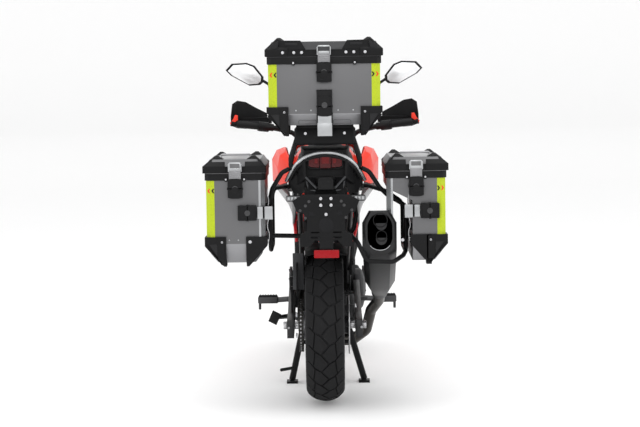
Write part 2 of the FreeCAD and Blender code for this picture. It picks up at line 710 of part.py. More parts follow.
slope = math.radians(s["rake"])
fork_offset = s["front_tyre_radius"] * math.sin(slope) - s["trail"] * math.cos(slope)
lean_back = Rotation(RIGHT, s["rake"])


def on_fork(x, y, along):
    """A point given in the fork's own directions, from the front axle, in machine coordinates."""
    point = lean_back.multVec(Vector(x, y, along))
    return Vector(point.x, point.y + s["wheelbase"], point.z + s["front_tyre_radius"])


head_low = s["lower_yoke"] + s["yoke_thick"] / 2 + 0.4
head_high = s["upper_yoke"] - s["yoke_thick"] / 2 - 0.4


def main_frame():
    """A trellis of straight tubes from the steering head back to the pivot plates."""
    low = on_fork(0, -fork_offset, head_low)
    high = on_fork(0, -fork_offset, head_high)
    up_head = on_fork(0, -fork_offset - 20, head_high - 40)
    down_head = on_fork(0, -fork_offset - 20, head_low + 30)
    head = Part.makeCylinder(s["head_radius"], (high - low).Length, low, high - low)
    py, pz = pivot
    r = s["frame_tube"]
    left_x, right_x = -s["plate_left"] - 6, s["plate_right"] + 6
    pieces = [head]
    for side, foot_x in ((-1, left_x), (1, right_x)):
        knee = (side * 122, 900, 792)
        bend = (side * 128, 660, 725)
        foot = (foot_x, py - 20, pz + 130)
        low_knee = (side * 128, 930, 640)
        pieces += strut_chain(((side * 16, up_head.y, up_head.z), knee, bend, foot), r)
        pieces += strut_chain(((side * 16, down_head.y, down_head.z), low_knee, (side * 128, 700, 590),
                               (foot_x, py + 20, pz + 110)), r)
        pieces += [ball(knee, r), ball(bend, r)]
        pieces += strut_chain((knee, low_knee), r * 0.75) + strut_chain((bend, (side * 128, 700, 590)), r * 0.75)
        pieces += strut_chain((knee, (side * 128, 700, 590)), r * 0.75)
    outline_points = (
        (py - 46, pz + 150), (py + 44, pz + 140), (py + 50, pz + 40), (py + 94, pz - 40),
        (py + 84, pz - 100), (s["stand_pivot_y"] + 30, s["stand_pivot_z"] - 22),
        (s["stand_pivot_y"] - 20, s["stand_pivot_z"] - 16), (s["stand_pivot_y"] - 16, s["stand_pivot_z"] + 16),
        (py - 44, pz - 40), (py - 52, pz + 60),
    )
    left = plate(outline_points, -s["plate_left"] - 12, 12)
    right = plate(outline_points, s["plate_right"], 12)
    cross = [rod((-s["plate_left"] - 2, y, z), (s["plate_right"] + 2, y, z), radius)
             for y, z, radius in ((py - 20, pz + 130, 16), (py - 32, pz - 87, 12))]
    tower = [plate(((536, 528), (566, 528), (566, 656), (540, 706), (500, 706), (486, 692), (490, 672),
                    (530, 668), (546, 650)), x, 12) for x in (-34, 22)]
    shock_bolt = rod((-34, s["shock_top_y"], s["shock_top_z"]), (34, s["shock_top_y"], s["shock_top_z"]), 6)
    stay = strut_chain(((0, 1112, 868), (0, 1228, 922)), 11)
    stay += [rod((side * 77, 1016, 735), (side * 77, s["radiator_y"] - 0.3, 735), 7) for side in (-1, 1)]
    stay.append(block(-26, 26, 1222, s["lamp_back"] - 0.4, 914, 1044))
    stem_bore = Part.makeCylinder(s["stem_radius"] + 0.4, (high - low).Length, low, high - low)
    bore = rod((-400, py, pz), (400, py, pz), s["pivot_tube"] + 0.3)
    stand_bore = rod((-400, s["stand_pivot_y"], s["stand_pivot_z"]),
                     (400, s["stand_pivot_y"], s["stand_pivot_z"]), s["stand_shaft"] + 0.3)
    return join(*pieces, left, right, *cross, *tower, shock_bolt, *stay).cut(bore).cut(stand_bore).cut(stem_bore)


shaped("main_frame", main_frame())


def subframe_tubes(grow=0):
    """The subframe's rails, struts and ties, with their radius grown by grow."""
    r = s["strut_tube"] + grow
    pieces = []
    for side, plate_face in ((-1, s["plate_left"]), (1, s["plate_right"])):
        front, top, end = (side * 112, 640, 768), (side * 112, 250, 880), (side * 96, -215, 962)
        low = (side * (plate_face - s["strut_tube"] - 0.3), 522, 506)
        knee, tip = (side * 108, 60, 880), (side * 98, -120, 930)
        pieces += strut_chain((front, top, end), r) + strut_chain((low, knee, tip), r)
        pieces += [ball(point, r) for point in (front, end, low)]
    pieces += [rod((-width, y, z), (width, y, z), r)
               for width, y, z in ((112, 250, 880), (96, -215, 962), (108, 60, 880), (112, 640, 768))]
    return pieces


shaped("subframe", join(*subframe_tubes()))

CROSS_TUBE = ((-222, -176, 712), (-100, -150, 706), (104, -150, 706), (122, -80, 780), (116, 0, 844),
              (112.6, 44, 867.2))
REAR_RACK_LEGS = (
    # the two legs on the right, each from the deck down to the subframe
    ((117, -258, 1080), (140, -236, 990), (116, -216, 962)),
    ((100, -40, 1138), (142, -20, 1010), (136, 40, 940), (121.9, 62, 900)),
)


def rack_feet(grow=0):
    """The rear rack's legs on both sides, with their radius grown by grow, and the side
    racks' tubes that run in to the subframe."""
    r = s["rack_tube"] + grow
    pieces = []
    for side in (-1, 1):
        for leg in REAR_RACK_LEGS:
            pieces.append(bent_tube([(side * x, y, z) for x, y, z in leg], r, 40))
    if grow:
        pieces.append(bent_tube(CROSS_TUBE, r, 50))
        pieces += [rod((side * 176, 236, 880), (side * 110, 240, 880), r) for side in (-1, 1)]
    return pieces


# ---------------------------------------------------------------- engine, cooling, exhaust

def cover(x, y, z, out, radius, steps=((1.0, 0.0), (1.0, 0.55), (0.86, 0.8), (0.55, 1.0))):
    """A round engine cover standing out from x by out, in steps of (radius share, height share)."""
    profile = [(0, 0)] + [(radius * share, abs(out) * rise) for share, rise in steps] + [(0, abs(out))]
    return revolved(profile, (x, y, z), (math.copysign(1, out), 0, 0))


def engine():
    """A parallel twin: crankcase, forward-leaning cylinders and head, side covers and sump."""
    case_side = ((592, 352), (592, 470), (616, 520), (790, 530), (905, 500), (950, 430),
                 (935, 330), (880, 262), (800, 232), (640, 240), (602, 290))
    rear_half = plate(case_side[:4] + case_side[8:], -92, 182)
    front_side = ((655, 236), (655, 500), (700, 528), (790, 532), (905, 500), (950, 430),
                  (935, 330), (880, 262), (800, 232))
    front_half = plate(front_side, -128, 256)
    sump = loft((
        [(-70, 600, 242), (70, 600, 242), (70, 600, 226), (-70, 600, 226)],
        [(-110, 690, 240), (110, 690, 240), (92, 690, 212), (-92, 690, 212)],
        [(-110, 840, 246), (110, 840, 246), (88, 840, 214), (-88, 840, 214)],
    ))
    lean = math.radians(s["cylinder_lean"])
    foot = Vector(0, 800, 500)
    up = Vector(0, math.sin(lean), math.cos(lean))
    cylinder_turn = Rotation(RIGHT, -s["cylinder_lean"])
    upper = []
    for half_x, y0, y1, z0, z1 in ((98, -68, 68, 0, 92), (108, -78, 78, 90, 176), (100, -70, 62, 174, 214)):
        part = block(-half_x, half_x, y0, y1, z0, z1)
        part = part.makeChamfer(7, [edge for edge in part.Edges])
        part.Placement = Placement(foot, cylinder_turn)
        upper.append(part)
    gasket = block(-94, 94, -62, 62, -30, 200)
    gasket.Placement = Placement(foot, cylinder_turn)
    clutch = cover(126, 712, 384, 44, 92)
    water_pump = cover(126, 846, 330, 34, 46)
    pick_up = cover(126, 860, 432, 26, 44)
    alternator = cover(-126, 806, 386, -40, 84)
    starter = cover(-126, 884, 470, -24, 34)
    oil_filter = revolved(((0, 0), (30, 0), (30, 40), (24, 46), (0, 46)), (0, 925, 372), (0, 1, -0.1))
    shaft = rod((-s["chain_offset"] - 10, drive_y, drive_z), (-80, drive_y, drive_z), 14)
    drive = rod((-s["chain_offset"] - s["sprocket_thick"] / 2, drive_y, drive_z),
                (-s["chain_offset"] + s["sprocket_thick"] / 2, drive_y, drive_z), pitch_drive - 3)
    pocket_room = rod((-200, drive_y, drive_z), (-s["chain_offset"] + 12, drive_y, drive_z), 60)
    sprocket_cover = [rod((-129, drive_y, drive_z), (-122, drive_y, drive_z), 63).cut(
        block(-140, -100, drive_y - 90, drive_y + 18, drive_z - 90, drive_z + 90))]
    for turn in (-55, 0, 55):
        y = drive_y + 55 * math.cos(math.radians(turn))
        z = drive_z + 55 * math.sin(math.radians(turn))
        sprocket_cover.append(rod((-129, y, z), (-84, y, z), 6))
    stand_axis = Vector(*SIDE_STAND_AXIS).normalize()
    stand_top = Vector(-s["side_stand_x"], s["side_stand_y"], s["side_stand_z"])
    stand_lug = Part.makeCylinder(17, 76, stand_top + stand_axis * 12.4, stand_axis)
    mounts = [rod((-s["plate_left"] + 0.3, py, pz), (s["plate_right"] - 0.3, py, pz), 15)
              for py, pz in ((pivot[0] + 52, pivot[1] + 88),)]
    hanger = [rod((-112.7, 712, 572), (112.7, 712, 572), 13),
              plate(((692, 520), (700, 584), (726, 584), (770, 560), (770, 520)), -60, 120)]
    ports = [rod((x, 880, 596), (x, 910, 588), 26) for x in (-52, 52)]
    intakes = [rod((x, 800, 626), (x, 686, 666), 27) for x in (-52, 52)]
    case = join(rear_half, front_half).cut(pocket_room)
    return join(case, sump, stand_lug, *sprocket_cover, gasket, *upper, clutch, water_pump, pick_up, alternator,
                starter, oil_filter, shaft, drive, *mounts, *hanger, *ports, *intakes)


shaped("engine", engine())


def radiator():
    """The radiator: a finned core between two tanks, with a fan behind."""
    low, high, back = 552, 752, s["radiator_y"]
    core = block(-128, 128, back, back + 22, low + 8, high - 8)
    cuts = [block(-122, 122, back + 17, back + 23, z, z + 8) for z in range(low + 16, high - 18, 14)]
    tanks = [block(x, x + 26, back - 6, back + 26, low, high) for x in (-150, 124)]
    tanks = [tank.makeFillet(7, tank.Edges) for tank in tanks]
    fan = rod((0, back - 24, 644), (0, back + 1, 644), 86)
    hub = rod((0, back - 30, 644), (0, back - 22, 644), 34)
    return join(core.cut(Part.makeCompound(cuts)), *tanks, fan, hub)


shaped("radiator", radiator())


def exhaust_headers():
    """Two pipes from the head's front down under the engine to one link pipe on the right."""
    r = s["header_radius"]
    pipes = []
    for side in (-1, 1):
        pipes.append(bent_tube((
            (side * 52, 910.4, 587.9), (side * 52, 976, 570.4), (side * 60, 996, 430), (side * 56 + 8, 962, 262),
            (side * 30 + 34, 860, 172), (side * 22 + 60, 740, 166)), r, 70))
    collector = loft([[(82 + half * cx, y, 168 + high * cz) for cx, cz in
                       ((-1, -0.5), (-0.5, -1), (0.5, -1), (1, -0.5), (1, 0.5), (0.5, 1), (-0.5, 1), (-1, 0.5))]
                      for y, half, high in ((752, 48, 24), (700, 50, 26), (640, 34, 28), (620, 26, 26))])
    inlet_z = s["silencer_z"] - s["silencer_drop"] * (s["silencer_rear"] + 262.4)
    link = bent_tube(((82, 640, 168), (110, 585, 172), (170, 520, 226), (190, 424, 326), (s["silencer_x"], 340, inlet_z + 0.56 * -78),
                      (s["silencer_x"], 262.4, inlet_z)), r * 1.2, 60)
    return join(*pipes, collector, link)


shaped("exhaust_headers", exhaust_headers())


def silencer():
    """The silencer: a deep eight-sided body that tapers forwards, with two stacked outlets."""
    x, y_end, z_end = s["silencer_x"] - 13, -s["silencer_rear"], s["silencer_z"]
    slope_down = s["silencer_drop"]
    wide, deep = s["silencer_wide"] / 2, s["silencer_deep"] / 2
    corners = ((-0.62, -1), (0.62, -1), (1, -0.55), (1, 0.5), (0.6, 1), (-0.6, 1), (-1, 0.5), (-1, -0.55))
    sections = []
    for back, share_wide, share_deep, drop in ((0, 0.8, 0.86, 0), (22, 1, 1, 0), (330, 0.92, 0.86, 1),
                                               (440, 0.62, 0.6, 1), (520, 0.4, 0.32, 1)):
        centre_z = z_end - slope_down * back
        sections.append([(x + wide * share_wide * cx + (13 * min(back, 440) / 440), y_end + back,
                          centre_z + deep * share_deep * cz) for cx, cz in corners])
    body = loft(sections)
    inlet = rod((x + 13, y_end + 505, z_end - slope_down * 505), (s["silencer_x"], 262, z_end - slope_down * (s["silencer_rear"] + 262)), 34)
    outlets = [rod((x + 8, y_end - 1, z_end + dz), (x + 8, y_end + 46, z_end + dz - slope_down * 46),
                   s["outlet_radius"]) for dz in (34, -24)]
    lug = block(x - 26, x + 26, y_end + 150, y_end + 190, z_end - slope_down * 170 + deep * 0.7,
                z_end - slope_down * 170 + deep + 34)
    return join(body, inlet, lug).cut(Part.makeCompound(outlets))


shaped("silencer", silencer())


# ---------------------------------------------------------------- bodywork

def oval(y, half_wide, bottom, top, shoulder=0.55):
    """A rounded section of eight corners across the machine at y."""
    waist_low, waist_high = bottom + (top - bottom) * 0.25, bottom + (top - bottom) * shoulder
    return [(-half_wide * 0.7, y, bottom), (half_wide * 0.7, y, bottom), (half_wide, y, waist_low),
            (half_wide, y, waist_high), (half_wide * 0.62, y, top - (top - bottom) * 0.08),
            (half_wide * 0.25, y, top), (-half_wide * 0.25, y, top),
            (-half_wide * 0.62, y, top - (top - bottom) * 0.08), (-half_wide, y, waist_high),
            (-half_wide, y, waist_low)]


TANK = (
    # y, half width, bottom, top
    (585.4, 84, 800, 905),
    (640, 118, 800, 968),
    (760, 158, 806, 1022),
    (880, 166, 826, 1040),
    (965, 132, 872, 1006),
    (1000, 84, 896, 962),
)
fuel_tank = loft([oval(*row) for row in TANK])
filler = rod((0, 860, 1030), (0, 858, 1048), 36)
tunnel = block(-60, 60, 560, 1100, 780, 838)
shaped("fuel_tank", join(fuel_tank, filler).cut(tunnel))

SEAT = (
    # y, half width, bottom, top
    (585, 80, 842, 896),
    (520, 104, 838, 886),
    (430, 132, 846, 884),
    (330, 139, 872, 904),
    (262, 136.5, 889, 966),
    (180, 133, 906, 1000),
    (20, 126, 938, 1036),
    (-110, 112, 968, 1074),
    (-158, 96, 990, 1070),
)
seat = loft([oval(y, half, low, high, 0.6) for y, half, low, high in SEAT])
shaped("seat", seat.cut(Part.makeCompound(subframe_tubes(0.4))))


def side_panel(rows):
    """A thin panel on the right: rows of y, thickness inwards, and x and z down its outer face."""
    return loft([[(x, y, z) for x, z in face] + [(x - thick, y, z) for x, z in reversed(face)]
                 for y, thick, *face in rows])


SHROUD = (
    (690, 6, (141.4, 930), (141.4, 916), (141.4, 897), (141.4, 880)),
    (800, 7, (180, 1000), (206, 984), (216, 930), (208, 852)),
    (940, 8, (190, 1017), (224, 1004), (245, 962), (243, 862)),
    (1010, 8, (184, 1010), (218, 996), (243, 955), (241, 874)),
    (1110, 7, (172, 956), (190, 938), (198, 900), (194, 852)),
    (1175, 6, (160, 904), (165, 892), (168, 877), (168, 860)),
)
shaped("tank_shrouds", both_sides(side_panel(SHROUD)))

LOWER_COWL = (
    (660, 5, (148.5, 790), (148.5, 716)), (780, 6, (202, 838), (160, 744)), (860, 6, (230, 840), (158, 740)),
    (960, 6, (222, 848), (160, 738)), (1050, 5, (184, 848), (160, 742)),
)
shaped("lower_cowls", both_sides(side_panel(LOWER_COWL)))


def nose(y, half, bottom, top):
    """A six-sided section of the nose across the machine at y."""
    middle_z = bottom + (top - bottom) * 0.45
    return [(-half * 0.55, y, bottom), (half * 0.55, y, bottom), (half, y, middle_z), (half * 0.8, y, top),
            (-half * 0.8, y, top), (-half, y, middle_z)]


LAMP_ROOM = ((1225, 94, 916, 1050), (1420, 76, 926, 1004))


def lamp_section(y, gap):
    """The lamp's section at y, smaller than its opening by gap."""
    back, front = LAMP_ROOM
    share = (y - back[0]) / (front[0] - back[0])
    half, low, high = (a + (b - a) * share for a, b in zip(back[1:], front[1:]))
    return nose(y, half - gap, low + gap, high - gap)


def front_cowl():
    """The nose: a shell round the headlamp, open at the back and round the fork."""
    outer = loft([nose(*row) for row in ((1150, 150, 905, 1096), (1230, 146, 896, 1090), (1330, 112, 890, 1040),
                                         (1400, 60, 900, 972))])
    inner = loft([nose(*row) for row in ((1140, 143, 912, 1089), (1228, 139, 903, 1083), (1318, 104, 897, 1034))])
    lamp_hole = loft([nose(*row) for row in LAMP_ROOM])
    fork_room = block(-160, 160, 1100, 1221, 860, 1004)
    low, high = on_fork(0, -fork_offset, s["outer_start"]), on_fork(0, -fork_offset, s["fork_top"] + 10)
    swept = Part.makeCylinder(s["fork_sweep"], (high - low).Length, low, high - low)
    return outer.cut(inner).cut(lamp_hole).cut(fork_room).cut(swept)


shaped("front_cowl", front_cowl())


def headlamp():
    """The headlamp: a deep lens set in the nose."""
    return loft([lamp_section(y, 0.4 + crown) for y, crown in
                 ((s["lamp_back"], 0), (1330, 0), (1378, 3), (1396, 16))])


shaped("headlamp", headlamp())

SCREEN = (
    # height, y of the middle, y of the edge, half width
    (1093.9, 1228, 1186, 88),
    (1170, 1212, 1176, 92),
    (1270, 1178, 1142, 108),
    (1372, 1136, 1092, 104),
    (1392, 1124, 1096, 70),
)


def windscreen():
    """A curved clear screen, wrapped round the nose and leaning back."""
    thick = s["screen_thick"]
    sections = []
    for z, y_mid, y_edge, half in SCREEN:
        front = [(half * share, y_mid + (y_edge - y_mid) * share * share, z)
                 for share in (-1, -0.6, 0, 0.6, 1)]
        back = [(x * 0.985, y - thick, z) for x, y, z in reversed(front)]
        sections.append(front + back)
    return loft(sections)


shaped("windscreen", windscreen())


def tail_cowl():
    """The tail: two flared side panels joined by an undertray and a lamp housing."""
    right = side_panel((
        (312, 6, (146, 884), (140, 842)), (180, 7, (148, 912), (148, 850)), (0, 8, (146, 950), (156, 866)),
        (-130, 9, (140, 978), (152, 880)), (-225, 9, (108, 985), (112, 905)), (-262, 9, (88, 1004), (84, 930)),
    ))
    tray = loft((
        [(-136, 300, 852), (136, 300, 852), (136, 300, 844), (-136, 300, 844)],
        [(-150, 0, 872), (150, 0, 872), (128, 0, 856), (-128, 0, 856)],
        [(-146, -130, 890), (146, -130, 890), (110, -130, 872), (-110, -130, 872)],
        [(-86, -255, 940), (86, -255, 940), (70, -255, 900), (-70, -255, 900)],
    ))
    housing = loft((
        [(-98, -170, 975), (98, -170, 975), (96, -170, 1056), (-96, -170, 1056)],
        [(-92, -225, 916), (92, -225, 916), (90, -225, 1046), (-90, -225, 1046)],
        [(-86, -244, 920), (86, -244, 920), (82, -244, 1040), (-82, -244, 1040)],
    ))
    tubes = Part.makeCompound(subframe_tubes(0.8) + rack_feet(0.8))
    tail = join(right, mirrored(right), tray, housing)
    tail.translate(Vector(0, 0, s["stand_lift"]))
    tail = tail.cut(tubes)
    return max(tail.Solids, key=lambda solid: solid.Volume)


shaped("tail_cowl", tail_cowl())
lamp_half = s["tail_lamp_wide"] / 2
tail_lamp = loft((
    [(-lamp_half, -244.4, 966), (lamp_half, -244.4, 966), (lamp_half, -244.4, 1033), (-lamp_half, -244.4, 1033)],
    [(-lamp_half + 4, -262, 968), (lamp_half - 4, -262, 968), (lamp_half - 6, -256, 1029),
     (-lamp_half + 6, -256, 1029)],
))


def chain_guard():
    """The rear hugger: an arch over the tyre's front, and the guard over the chain's top run."""
    r_in, thick = s["rear_tyre_radius"] + 14, 4
    half = s["rear_tyre_width"] / 2 + 8
    profile = [(-half, r_in - 46), (-half, r_in), (-half + 26, r_in + thick + 6), (half - 26, r_in + thick + 6),
               (half, r_in), (half, r_in - 46), (half - thick, r_in - 46), (half - thick, r_in - 2),
               (half - 27, r_in + 6), (-half + 27, r_in + 6), (-half + thick, r_in - 2), (-half + thick, r_in - 46)]
    corners = [Vector(x, r, 0) for x, r in profile]
    arch = Part.Face(Part.makePolygon(corners + corners[:1])).revolve(Vector(), RIGHT, 96)
    arch.rotate(Vector(), RIGHT, 18)
    arch.translate(Vector(0, 0, rear_z))
    guard = plate(((430, 470), (100, 452), (-96, 452), (-150, 500), (-150, 566), (-60, 590), (80, 520),
                   (430, 486)), -124, 6)
    shelf = plate(((430, 470), (430, 486), (80, 520), (60, 500), (100, 478)), -s["chain_offset"] - 12, 20)
    link = block(-121, -83, 235, 285, 462, 482)
    feet = [block(-160, -142, 383, 407, 422.6, 480), block(-145, -120, 383, 407, 464, 480),
            block(-150, -142, 112, 132, 364.4, 470), block(-150, -120, 112, 132, 454, 470)]
    return join(arch, guard, shelf, link, *feet)


shaped("chain_guard", chain_guard())


def plate_bracket():
    """The number-plate bracket: an upright shaped plate on two arms under the tail."""
    y = -s["bracket_rear"]
    half = ((0, 872), (88, 872), (131, 848), (114, 803), (92, 800), (75, 780), (74, 730), (102, 716), (102, 668),
            (66, 667), (42, 694), (27, 688), (27, 660), (0, 660))
    points = list(half) + [(-x, z) for x, z in reversed(half[1:-1])]
    body = rear_plate(points, y, s["bracket_thick"])
    openings = [rod((x, y - 5, z), (x, y + 20, z), radius) for x, z, radius in
                ((-20, 856, 3.25), (20, 856, 3.25), (-20, 830, 3.25), (20, 830, 3.25), (0, 752, 26))]
    openings += [block(*sorted((side * 27, side * 60)), y - 5, y + 20, low, high)
                 for side in (-1, 1) for low, high in ((720, 726), (700, 708))]
    tab = [block(-27, 27, y + 9, y + 9 + s["bracket_thick"], 620, 668),
           block(-27, 27, y, y + 9 + s["bracket_thick"], 660, 668)]
    arms = [loft((
        [(side * 60 - 16, y + 4, 866), (side * 60 + 16, y + 4, 866), (side * 60 + 16, y + 4, 832),
         (side * 60 - 16, y + 4, 832)],
        [(side * 50 - 12, -255.4, 934), (side * 50 + 12, -255.4, 934), (side * 50 + 12, -255.4, 906),
         (side * 50 - 12, -255.4, 906)])) for side in (-1, 1)]
    return join(body.cut(Part.makeCompound(openings)), *arms, *tab)


shaped("plate_bracket", plate_bracket(), z="stand_lift")
reflector = block(-49, 49, -s["bracket_rear"] + 2, -s["bracket_rear"] + 8.7, 622, 654)
shaped("rear_lamps", Part.makeCompound([tail_lamp, reflector]), z="stand_lift")


def indicators():
    """Two slim rear indicators on short stalks."""
    lamp = block(91, 156, -312, -286, 844, 867)
    lamp = lamp.makeFillet(8, [edge for edge in lamp.Edges if abs(edge.tangentAt(0).y) > 0.9])
    stem = block(97, 111, -s["bracket_rear"] + s["bracket_thick"] + 0.3, -308, 848, 862)
    return both_sides(join(lamp, stem))


shaped("indicators", indicators(), z="stand_lift")


def side_covers():
    """The panels under the seat, one on each side."""
    panel = side_panel((
        (318, 5, (140, 858), (130, 776)), (440, 5, (144, 843), (142, 706)), (540, 5, (142, 836), (140, 668)),
        (618, 5, (149, 830), (149, 690))))
    pucks = [rod((112 + s["strut_tube"] + 0.3, y, z), (142, y, z), 8) for y, z in ((420, 831), (540, 797))]
    return both_sides(join(panel, *pucks))


shaped("side_covers", side_covers())
airbox = block(-90, 90, 568, 694, 628, 752)
airbox = airbox.makeChamfer(12, airbox.Edges)
shaped("airbox", airbox.cut(Part.makeCompound([rod((x, 800, 626), (x, 685.6, 666.1), 27.4) for x in (-52, 52)])))


def footrests():
    """Rider's footrests: a ribbed rubber block on a forked hanger from each frame plate."""
    pieces = []
    for side, root in ((-1, s["plate_left"] + 12.3), (1, s["plate_right"] + 12.3)):
        hanger = strut_chain(((side * root, 596, 356), (side * 176, 596, 356), (side * 224, 618, 350)), 12)
        peg = block(min(side * 218, side * 308), max(side * 218, side * 308), 598, 642, 336, 366)
        stub = rod((side * 300, 620, 340), (side * 300, 620, 308), 6)
        pieces.append(join(*hanger, peg.makeChamfer(4, peg.Edges), stub))
    return Part.makeCompound(pieces)


shaped("footrests", footrests())


# ---------------------------------------------------------------- steering: fork, bars, mirrors

def on_axle(label, shape):
    """A sub-part drawn in the fork's own directions, with the front axle as its origin."""
    return shaped(label, shape, "wheelbase", "front_tyre_radius", lean_back)


def fork_legs():
    """Two upside-down fork legs with their axle lugs and caliper lugs."""
    legs = []
    x = s["fork_half"]
    for side in (-1, 1):
        slider = rod((side * x, 0, -18), (side * x, 0, s["outer_start"] + 10), s["slider_radius"])
        outer = revolved(((0, 0), (s["outer_radius"] - 3, 0), (s["outer_radius"], 14),
                          (s["outer_radius"], s["fork_top"] - s["outer_start"] - 6),
                          (s["outer_radius"] - 5, s["fork_top"] - s["outer_start"]),
                          (0, s["fork_top"] - s["outer_start"])),
                         (side * x, 0, s["outer_start"]), (0, 0, 1))
        lug = rod((side * (x - 24), 0, 0), (side * (x + 24), 0, 0), 25)
        low, high = sorted((side * (x - 7), side * (x + 9)))
        ear = block(low, high, -112, 0, 56, 128)
        ear = ear.cut(block(low - 1, high + 1, -113, -40, 20, 74))
        bore = rod((side * (x - 30), 0, 0), (side * (x + 30), 0, 0), s["axle_radius"] + 0.2)
        legs.append(join(slider, outer, lug, ear).cut(bore))
    return Part.makeCompound(legs)


on_axle("fork_legs", fork_legs())
caliper = disc_caliper(0, 0, s["front_disc_radius"], s["front_disc_offset"], s["fork_half"] - 7.3, 134, 92)
on_axle("front_calipers", both_sides(caliper))
axle_half = s["fork_half"] + 24
front_axle = rod((-axle_half - 6, 0, 0), (axle_half + 6, 0, 0), s["axle_radius"])
front_spacers = [rod((side * (s["front_disc_offset"] + 3), 0, 0), (side * (s["fork_half"] - 24.3), 0, 0),
                     s["axle_radius"] + 6) for side in (-1, 1)]
front_nuts = [rod((side * (axle_half + 0.3), 0, 0), (side * (axle_half + 12), 0, 0), 15) for side in (-1, 1)]
on_axle("front_axle", join(front_axle, *front_spacers, *front_nuts))


def fork_yokes():
    """The two yokes on their stem, bored for the fork legs."""
    x = s["fork_half"]
    pieces = [rod((0, -fork_offset, s["lower_yoke"]), (0, -fork_offset, s["upper_yoke"] + 26), s["stem_radius"]),
              rod((0, -fork_offset, s["upper_yoke"]), (0, -fork_offset, s["upper_yoke"] + 24), 20)]
    holes = []
    for along in (s["lower_yoke"], s["upper_yoke"]):
        low = along - s["yoke_thick"] / 2
        web = Part.Face(Part.makePolygon([Vector(px, py, low) for px, py in (
            (-x, 34), (-x, -34), (-40, -fork_offset - 26), (40, -fork_offset - 26), (x, -34), (x, 34),
            (60, 10), (-60, 10), (-x, 34))])).extrude(Vector(0, 0, s["yoke_thick"]))
        pieces.append(web)
        for side in (-1, 1):
            pieces.append(rod((side * x, 0, low), (side * x, 0, low + s["yoke_thick"]), s["outer_radius"] + 11))
            holes.append(rod((side * x, 0, low - 1), (side * x, 0, low + s["yoke_thick"] + 1),
                             s["outer_radius"] + 0.3))
    risers = [rod((side * 46, -30, s["upper_yoke"] + 14), (side * 46, -30, s["upper_yoke"] + 44), 16)
              for side in (-1, 1)]
    return join(*pieces, *risers).cut(Part.makeCompound(holes))


on_axle("fork_yokes", fork_yokes())


def front_fender():
    """The front mudguard: a ribbed arch over the tyre, with a stay to each slider."""
    r_in, half, thick = s["front_tyre_radius"] + 13, s["front_tyre_width"] / 2 + 10, 4
    profile = [(-half, r_in - 34), (-half, r_in - 4), (-half + 18, r_in + 10), (half - 18, r_in + 10),
               (half, r_in - 4), (half, r_in - 34), (half - thick, r_in - 34), (half - thick, r_in - 6),
               (half - 20, r_in + 6), (-half + 20, r_in + 6), (-half + thick, r_in - 6),
               (-half + thick, r_in - 34)]
    corners = [Vector(x, r, 0) for x, r in profile]
    arch = Part.Face(Part.makePolygon(corners + corners[:1])).revolve(Vector(), RIGHT, 128)
    arch.rotate(Vector(), RIGHT, 44)
    tabs = []
    for side in (-1, 1):
        low, high = sorted((side * (half - 3), side * (s["fork_half"] - s["slider_radius"] - 0.3)))
        tabs.append(block(low, high, -16, 16, s["outer_start"] - 22, s["outer_start"] - 2))
        low, high = sorted((side * (half - 4), side * half))
        tabs.append(block(low, high, -16, 16, s["outer_start"] - 22, r_in - 20))
    return join(arch, *tabs)


on_axle("front_fender", front_fender())

clamp = on_fork(0, -30, s["upper_yoke"] + 58)
BAR = ((0, 0, 0), (76, 0, 0), (150, -16, 72), (226, -36, 96), (s["bar_half"], -88, 118))
bar_right = [(x, clamp.y + y, clamp.z + z) for x, y, z in BAR]
bar_left = [(-x, y, z) for x, y, z in reversed(bar_right[1:])]


def handlebar():
    """The handlebar and its clamp on the upper yoke."""
    bar = bent_tube(bar_left + bar_right[1:], s["bar_radius"], 60)
    clamps = []
    for side in (-1, 1):
        x0, x1 = sorted((side * 32, side * 60))
        half = block(x0, x1, -19, 19, -13.7, 17)
        half.Placement = Placement(clamp, lean_back)
        clamps.append(half)
    return join(bar, *clamps)


shaped("handlebar", handlebar())


def grip_line(x):
    """A point on the bar's straight outer run at x."""
    inner, outer = Vector(*bar_right[-2]), Vector(*bar_right[-1])
    return inner + (outer - inner) * ((x - inner.x) / (outer.x - inner.x))


def controls():
    """Grip, switch pod, lever perch and lever for one side."""
    run = (grip_line(430) - grip_line(250)).normalize()
    grip = Part.makeCylinder(16.5, 105, grip_line(308), run)
    flange = Part.makeCylinder(22, 6, grip_line(303), run)
    pod = Part.makeCylinder(23, 42, grip_line(262), run)
    perch = Part.makeCylinder(17, 24, grip_line(240), run)
    head = grip_line(256) + Vector(0, 46, 2)
    arm = rod(grip_line(251), head, 10)
    lever = bent_tube((head, grip_line(312) + Vector(0, 64, -8), grip_line(400) + Vector(0, 56, -10)), 5.5, 60)
    tip = ball(grip_line(400) + Vector(0, 56, -10), 8)
    bar = Part.makeCylinder(s["bar_radius"] + 0.2, 300, grip_line(206), run)
    return join(grip, flange, pod, perch, arm, lever, tip).cut(bar)


shaped("handlebar_controls", both_sides(controls()))


def handguard():
    """One hand guard: a bowed shield ahead of the grip, held at the bar's end and beside the clamp."""
    thick = 5
    rows = (
        # x, y of the shield, z bottom, z top
        (270, 1098, 1116, 1170), (322, 1112, 1102, 1196), (370, 1102, 1098, 1224), (408, 1080, 1102, 1231),
        (430, 1040, 1112, 1216), (434, 968, 1120, 1160),
    )
    shield = loft([[(x, y, low), (x, y, high), (x - 1, y - thick, high), (x - 1, y - thick, low)]
                   for x, y, low, high in rows])
    end = grip_line(s["bar_half"])
    run = (grip_line(430) - grip_line(250)).normalize()
    cap = Part.makeCylinder(12, 19, end + run * 0.3, run)
    foot = Vector(*bar_right[-3]) + (Vector(*bar_right[-2]) - Vector(*bar_right[-3])) * 0.7
    stay = strut_chain((foot + Vector(0, 15.6, 6), (240, 1066, 1140), (290, 1096, 1152)), 6)
    return join(shield, cap, *stay)


shaped("handguards", both_sides(handguard()))

